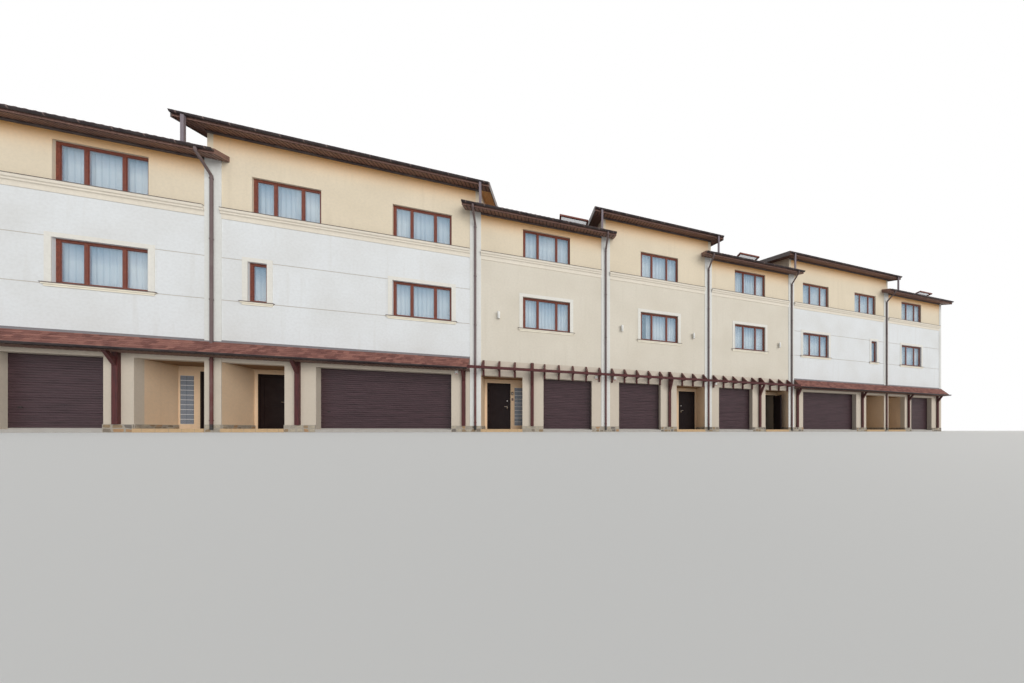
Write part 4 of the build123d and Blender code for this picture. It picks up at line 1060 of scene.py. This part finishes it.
rail_shapes = []
for left, right, bottom, top in front_openings:
    rail = top - RAIL_DROP
    rail_shapes.append(drawn_out(arc((RAIL_AT, rail), RAIL_RADIUS, 0, 360, 9)[:-1], [(left, right)]))
    holders = ((left + 0.04, left + 0.048), (right - 0.048, right - 0.04))
    lows = [(low, RAIL_AT - 0.004, rail) for low, high in holders]
    rail_shapes.append(blocks(lows, [(high, RAIL_AT + 0.004, top) for low, high in holders]))
gather("curtain_rails", rail_shapes, white_shell)
widths = []
for number, (left, right, bottom, top) in enumerate(front_openings):
    low, hem, head = left + drawn_back(left, bottom), bottom + 0.008, top - 0.025
    widths.append(hang_curtain(f"curtain_{number}", low, right - 0.006, hem, head, number))
print("curtains:", len(widths), "cut widths up to", round(max(widths), 2), "m")

# %% [markdown]
# ## Garage doors
# The sectional doors are pressed with fine level ribs, five sections high, with a rubber seal at
# the foot. The section of one door, from foot to head, is drawn out across the opening: each rib
# is a small step out and back, each joint between sections a deeper groove.

# %% The garage doors
SECTIONS, RIBS = 5, 6
DOOR_FOOT, DOOR_HEAD, DOOR_FACE, DOOR_THICK, DOOR_LAP = 0.072, 1.225, 0.150, 0.030, 0.025


def rib_line(bottom, top, face):
    """(y, z) from the foot to the head: y = face, minus 2.8 mm on a rib, plus 5 mm in a joint."""
    rib = (top - bottom) / SECTIONS / RIBS
    line = []
    for number in range(SECTIONS * RIBS):
        z = bottom + number * rib
        groove = 0.005 if number % RIBS == 0 and number > 0 else 0.0015
        line += [(face + groove, z), (face + groove, z + 0.004)]
        line += [(face - 0.0028, z + 0.009), (face - 0.0028, z + rib - 0.005)]
    return line + [(face, top)]


def garage_span(letter):
    """X range of a garage opening: from behind the porch to the pier at the far side."""
    near = 1.235 if letter in END_HOUSES else 1.345
    pier = {"a": 0.510, "g": 0.510, "b": 0.440, "f": 0.440}.get(letter, 0.325)
    return along_front(letter, near, PORCH_SIDES[letter][2] - pier)


GARAGES = {letter: garage_span(letter) for letter in PORCH_SIDES}
section = rib_line(DOOR_FOOT, DOOR_HEAD, DOOR_FACE + 0.003)
section += [(DOOR_FACE + DOOR_THICK, DOOR_HEAD), (DOOR_FACE + DOOR_THICK, DOOR_FOOT)]
ranges = [(left - DOOR_LAP, right + DOOR_LAP) for left, right in GARAGES.values()]
panels = gather("garage_door_panels", [drawn_out(section, ranges)], garage_grain_and_sheen)
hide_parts("garage_doors")
print("garage doors:", len(ranges), "with", len(section), "points in the section")

# %% [markdown]
# ## Stone plinth
# Below the render, pieces of split stone are set at random, about two high. Photographed stone or
# a bump would stay flat at the edges. Here the face is a jittered net: each mesh of the net is one
# stone, shrunk for its joint and swollen in the middle.

# %% The stone finish
STONE_TONES = ((0.0, (160, 152, 140)), (0.25, (132, 122, 110)), (0.45, (178, 168, 150)))
STONE_TONES += ((0.65, (146, 126, 100)), (0.8, (116, 110, 104)), (0.92, (172, 138, 104)))
look = Finish("split_stone")
tone = look.add("ValToRGB", {0: look.stored("stone_shade")})[0]
ramp = tone.node.color_ramp
ramp.interpolation = "CONSTANT"
while len(ramp.elements) < len(STONE_TONES):
    ramp.elements.new(0.5)
for element, (position, shade) in zip(ramp.elements, STONE_TONES):
    element.position = position
    element.color = paint(*shade)
veins = look.noise(45.0, 5.0)
colour = look.blend(look.product(look.limits(veins, 0.45, 0.7), 0.4), tone, paint(112, 102, 92))
stone_finish = look.done(colour, 0.85, veins, 0.003)
mortar_finish = render_finish("mortar", paint(168, 160, 148), paint(120, 112, 100), 0.3)

# %% The stones
STONE, STONE_ROWS, STONE_NET, STONE_JOINT = 0.095, 2, 6, 0.0035


def stone_face(length, low, high, seed):
    """Stones on a face: (u, v) from a jittered net, w = swell times the root of (1 - a^4)(1 - b^4)."""
    random = np.random.default_rng(seed)
    count, rows = max(2, int(round(length / STONE))), STONE_ROWS
    net_u = np.linspace(0, length, count + 1)[None, :].repeat(rows + 1, 0)
    net_v = np.linspace(low, high, rows + 1)[:, None].repeat(count + 1, 1)
    net_u[:, 1:-1] += random.uniform(-0.026, 0.026, (rows + 1, count - 1))
    net_v[1:-1, :] += random.uniform(-0.016, 0.016, (rows - 1, count + 1))
    across = np.linspace(-1, 1, STONE_NET)
    a, b = np.meshgrid(across, across, indexing="ij")
    s, t = 0.5 + 0.5 * a, 0.5 + 0.5 * b
    flat = []
    for grid in (net_u, net_v):
        corner = grid[:, :, None, None]
        quad = corner[:-1, :-1] * (1 - s) * (1 - t) + corner[:-1, 1:] * s * (1 - t)
        quad = quad + corner[1:, :-1] * (1 - s) * t + corner[1:, 1:] * s * t
        centre = quad.mean(axis=(2, 3), keepdims=True)
        size = np.abs(quad - centre).max(axis=(2, 3), keepdims=True)
        flat.append(centre + (quad - centre) * (1 - STONE_JOINT / size))
    swell = random.uniform(0.003, 0.007, (rows, count, 1, 1))
    shape = ((1 - a**4) * (1 - b**4)) ** 0.5
    rough_face = 1 + 0.25 * random.uniform(-1, 1, (rows, count, STONE_NET, STONE_NET))
    w = swell * shape * rough_face - 0.002
    shades = random.uniform(0, 1, rows * count)
    return np.stack([*flat, w], axis=-1).reshape(-1, 3), shades


def plinth_faces():
    """(origin, direction, out, length, low, high) of every stone face of the row."""
    porches = [along_front(letter, 0.100, 0.910) for letter in PORCH_SIDES]
    openings = sorted(porches + list(GARAGES.values()))
    edges = [-ROW_HALF] + [value for span in openings for value in span] + [ROW_HALF]
    for left, right in zip(edges[0::2], edges[1::2]):
        yield (left, -0.015), (1, 0), (0, -1), right - left, 0.0, PLINTH_TOP
    for letter, (_, direction, _) in PORCH_SIDES.items():
        for distance, turn in ((0.112, 1), (0.898, -1)):
            origin, out = (on_front(letter, distance), 0.0), (direction * turn, 0)
            yield origin, (0, 1), out, porch_depth(letter), STEP_TOP, PLINTH_TOP


stone_shapes, stone_shades, corners = [], [], STONE_NET**2
for seed, (origin, run, out, length, low, high) in enumerate(plinth_faces()):
    if length >= 0.05:
        flat, shades = stone_face(length, low, high, seed)
        x, y = (origin[axis] + run[axis] * flat[:, 0] + out[axis] * flat[:, 2] for axis in (0, 1))
        faces = repeated(grid_faces(STONE_NET, STONE_NET), corners, len(shades))
        if run[0] * out[1] - run[1] * out[0] >= 0:
            faces = [face[::-1] for face in faces]
        stone_shapes.append((np.column_stack([x, y, flat[:, 1]]), faces))
        stone_shades.append(np.repeat(shades, corners))
stones = new_piece("plinth_stones", joined(stone_shapes), stone_finish)
mark_points(stones, "stone_shade", np.concatenate(stone_shades))
print("stones:", len(stones.data.vertices) // corners)

# %% [markdown]
# ## Lamps, alarm boxes and small things
# A turned shape is a profile of radius against height, spun round an axis. The wall lamps are white
# tubes with a shadow gap and a lens at each end; the alarm boxes are rounded shells with a red lens
# below. They are small, but they are what makes the wall look lived in.


# %% Turned shapes
def turned(profile, centre=(0, 0, 0), steps=24):
    """(x, y, z) = centre + (r cos a, r sin a, h) for a profile of (r, h) from pole to pole."""
    radius, height = np.transpose(profile)[:, :, None]
    angle = np.linspace(0, 2 * np.pi, steps + 1)[:-1]
    x, y = centre[0] + radius * np.cos(angle), centre[1] + radius * np.sin(angle)
    rings = np.stack(np.broadcast_arrays(x, y, centre[2] + height), axis=-1)
    return tube(rings, ends=False)


LAMPS = [on_front(letter, 0.445) for letter in "cde"] + [on_front("d", NARROW - 0.395)]
LAMP_TUBE = [(0, -0.062), (0.022, -0.062), (0.023, -0.070), (0.027, -0.070), (0.028, -0.067)]
LAMP_TUBE += [(0.028, -0.052), (0.0265, -0.051), (0.0265, -0.049), (0.028, -0.048), (0.028, 0.067)]
LAMP_TUBE += [(0.027, 0.070), (0.023, 0.070), (0.022, 0.062), (0, 0.062)]
lamp_shapes = []
for x in LAMPS:
    lamp_shapes.append(turned(LAMP_TUBE, (x, -0.050, 2.500)))
    lamp_shapes.append(blocks([(x - 0.011, -0.026, 2.480)], [(x + 0.011, 0.0, 2.520)]))
lamps = gather("wall_lamp_tubes", lamp_shapes, white_shell, smooth=True)
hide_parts("wall_lamps")
for polygon in lamps.data.polygons:
    polygon.use_smooth = abs(polygon.normal.z) < 0.5

# %% Alarm boxes
ALARMS = [(on_front(letter, NARROW - 0.225), 1.240) for letter in "cde"]
ALARMS.append((on_front("b", WIDE - 0.345), 1.195))
lows = [(x - 0.031, -0.030, z + 0.010) for x, z in ALARMS]
shells = blocks(lows, [(x + 0.031, 0.0, z + 0.078) for x, z in ALARMS])
alarm_shells = soften(gather("alarm_shells", [shells], white_shell), 0.007, 3)
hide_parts("alarm_boxes")
lens_profile = [(0, -0.010), (0.012, -0.009), (0.019, -0.005), (0.021, 0.0), (0.021, 0.006), (0, 0.006)]
lens_shapes = [turned(lens_profile, (x, 0, z + 0.010), 20) for x, z in ALARMS]
for made, _ in lens_shapes:
    made[:, 1] = -0.015 + made[:, 1] * 0.62
gather("alarm_lenses", lens_shapes, red_lens, smooth=True)
print("lamps:", len(LAMPS), "alarm boxes:", len(ALARMS))

# %% [markdown]
# ## Door handles and garage handles
# Every entrance door has a bright lever with a rounded end and a lock rose above it. The lever is a
# round bar led along a short path with a bend at the spindle. It lies over the plain lever of the
# solids and turns with its door.


# %% Bars along a path
def bar_along(path, radius, steps=10):
    """A round bar: rings of this radius across each point of a path, closed at both ends."""
    path = np.asarray(path, float)
    run = np.gradient(path, axis=0)
    run /= np.linalg.norm(run, axis=1)[:, None]
    side = np.cross(run, [0.13, 0.21, 1.0])
    side /= np.linalg.norm(side, axis=1)[:, None]
    up = np.cross(side, run)
    angle = np.linspace(0, 2 * np.pi, steps + 1)[:-1]
    ring = np.cos(angle)[None, :, None] * side[:, None] + np.sin(angle)[None, :, None] * up[:, None]
    radius = np.broadcast_to(radius, (len(path),))
    return tube(path[:, None] + radius[:, None, None] * ring)


# %% The lever handles
OPEN_LETTER, OPEN_ANGLE = "e", math.radians(80)
LEVER_LEVEL, ROSE_RISE, BEND, LEVER_ALONG, HINGE_ALONG = 0.582, 0.130, 0.008, 0.563, 0.1795
ROSE = [(0, -0.0062), (0.011, -0.0062), (0.0145, -0.004), (0.0150, 0.0), (0, 0.0)]


def door_front(letter):
    """Depth of the outer face of an entrance door."""
    return porch_depth(letter) - 0.006


def with_door(letter, points):
    """Points of a shut door, turned about its hinge line where the door stands open."""
    if letter != OPEN_LETTER:
        return points
    hinge = np.array([on_front(letter, HINGE_ALONG), door_front(letter) - 0.0063])
    angle = -PORCH_SIDES[letter][1] * OPEN_ANGLE
    x, y = (points[:, :2] - hinge).T
    turned_x = x * math.cos(angle) - y * math.sin(angle)
    turned_y = x * math.sin(angle) + y * math.cos(angle)
    return np.column_stack([turned_x + hinge[0], turned_y + hinge[1], points[:, 2]])


def handle_shapes(letter):
    """The lever, its spindle and the lock rose of one door, as it stands."""
    direction, x, front = PORCH_SIDES[letter][1], on_front(letter, LEVER_ALONG), door_front(letter)
    bend = [(BEND * (1 - math.cos(t)), 0.016 + BEND * math.sin(t)) for t in np.linspace(0, np.pi / 2, 5)]
    path = [(0, 0.002), *bend, (0.030, 0.024), (0.0625, 0.024), (0.0645, 0.024)]
    path = [(x - direction * along, front - out, LEVER_LEVEL) for along, out in path]
    lever = bar_along(path, [0.0075] * (len(path) - 1) + [0.004])
    rose, faces = turned(ROSE, steps=20)
    rose = rose[:, [0, 2, 1]] + (x, front, LEVER_LEVEL + ROSE_RISE)
    low, high = (x - 0.0115, front - 0.0055, LEVER_LEVEL - 0.057), (x + 0.0115, front, LEVER_LEVEL + 0.027)
    shapes = [lever, (rose, faces), blocks([low], [high])]
    return [(with_door(letter, made), sides) for made, sides in shapes]


for letter in "abcde":
    name, body = f"door_handle_{letter}", f"door_{letter}"
    gather(name, handle_shapes(letter), bright_metal, body, smooth=True)
far_shapes = [shape for letter in "fg" for shape in handle_shapes(letter)]
gather("far_door_handles", far_shapes, bright_metal, smooth=True)

# %% The garage handles
OVAL = [(0, -0.008), (0.6, -0.0075), (0.9, -0.005), (1.0, 0.0), (0, 0.0)]
oval_shapes = []
for letter, (left, right) in GARAGES.items():
    x = right - 0.115 if letter in "de" else left + 0.115
    oval, faces = turned(OVAL, steps=20)
    oval_shapes.append((oval[:, [0, 2, 1]] * (0.028, 1, 0.011) + (x, DOOR_FACE, 0.385), faces))
gather("garage_handles", oval_shapes, black_metal, smooth=True)
print("handles:", len(PORCH_SIDES), "doors and", len(oval_shapes), "garages")

# %% [markdown]
# ## The lantern and the bell plate
# Between the door of house C and its glass blocks hangs a small black lantern with a pitched cap,
# and under it a plain grey plate with one button.

# %% Lantern and plate
at, back, out = on_front("c", 0.672), porch_depth("c"), 0.485
middle = (at, out, 0.890)
cap = [(0, 0.036), (0.004, 0.034), (0.028, 0.014), (0.028, 0.010), (0, 0.010)]
foot = [(0, -0.034), (0.018, -0.034), (0.021, -0.028), (0, -0.028)]
bulb = [(0, -0.026), (0.012, -0.024), (0.0145, 0.0), (0.012, 0.009), (0, 0.010)]
lantern_shapes = [turned(cap, middle, 4), turned(foot, middle, 4)]
for x, y in arc((at, out), 0.019, 0, 270, 4):
    lantern_shapes.append(bar_along([(x, y, z) for z in (0.858, 0.880, 0.903)], 0.0028, 6))
arm = [(at, back, 0.905), (at, back - 0.015, 0.918), (at, out, 0.922)]
lantern_shapes.append(bar_along(arm, 0.0035, 6))
gather("lantern_c", lantern_shapes, black_metal)
gather("lantern_glass_c", [turned(bulb, middle, 16)], white_shell, smooth=True)
lows = [(at - 0.020, back - 0.009, 0.724), (at - 0.006, back - 0.013, 0.738)]
plate = blocks(lows, [(at + 0.020, back, 0.782), (at + 0.006, back - 0.009, 0.750)])
soften(gather("bell_plate_c", [plate], strap_finish), 0.0015)

# %% [markdown]
# ## Tiles on the steps
# The porch steps are faced with square tan tiles. The joints are lines on a regular grid, so a
# finish that reads the place can draw them and sink them at the same time.

# %% The step finish
TILE = 0.150
look = Finish("step_tiles")
x, y, z = look.axes()
joints = look.sum("MAXIMUM", look.joint(x, TILE, 0.487), look.joint(y, TILE, 0.487))
tile = look.blend(look.noise(30.0, 4.0), paint(204, 176, 138), paint(178, 148, 112))
colour = look.blend(joints, tile, paint(150, 138, 122))
step_finish = look.done(colour, 0.5, look.product(joints, -1.0))

# %% [markdown]
# ## Sills
# A sill is a dark metal cover on a cream stepped moulding. In the solids both are one piece, so the
# finish takes the dark colour from the upper step and the cream from the lower one.

# %% The sill finish
look = Finish("sill_finish")
x, y, z = look.axes()
covers = [look.between(z, sill - 0.0105, sill + 0.01) for sill in (MIDDLE_SILL, GROUND_SILL)]
colour = look.blend(look.sum("MAXIMUM", *covers), paint(236, 229, 212), paint(84, 68, 66))
coat = look.through(coated, Colour=colour, Dust=paint(170, 160, 150))
sill_finish = look.done(coat["Colour"], coat["Roughness"])

# %% [markdown]
# ## Finishes for the solids
# The solids that keep their shape now get their finish. A table from sub-part to finish is easier
# to check than fifty separate lines, and it fails if a sub-part has been forgotten.

# %% Dress the solids
FINISH_OF = {
    wall_finish: "party_walls end_walls front_walls_low front_walls_high rear_walls_low "
    "rear_walls_high front_piers",
    porch_finish: "porch_side_walls porch_back_walls porch_heads",
    painted_shade_ceiling: "porch_ceilings",
    concrete_finish: "ground_slab first_floor second_floor",
    moulding_finish: "cornices",
    surround_finish: "window_bands",
    pilaster_finish: "pilasters",
    mortar_finish: "plinth",
    step_finish: "porch_steps",
    block_glass: "glass_blocks",
    door_finish: "entrance_frames far_entrance_doors entrance_door_a entrance_door_b "
    "entrance_door_c entrance_door_d entrance_door_e",
    garage_grain_and_sheen: "garage_doors",
    rail_finish: "garage_rails garage_thresholds",
    frame_finish: "window_frames roof_window_kerbs roof_window_sashes",
    glass_finish: "window_glass roof_window_panes",
    sill_finish: "window_sills",
    flashing_finish: "cornice_flashings barge_boards",
    soffit_finish: "roofs_front roofs_rear canopies",
    gutter_finish: "roof_gutters canopy_gutters",
    spout_finish: "gutter_spouts",
    roof_finish: "ridge_caps",
    pipe_finish: "downpipes",
    upright_timber: "posts",
    fin_timber: "pergola_brackets",
    level_timber: "pergola_beam",
    white_shell: "wall_lamps alarm_boxes",
}
dressed = {name: finish for finish, names in FINISH_OF.items() for name in names.split()}
for name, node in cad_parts.items():
    node.data.materials.clear()
    node.data.materials.append(dressed[name])
print("dressed solids:", len(dressed), "of", len(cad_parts))

# %% Finish
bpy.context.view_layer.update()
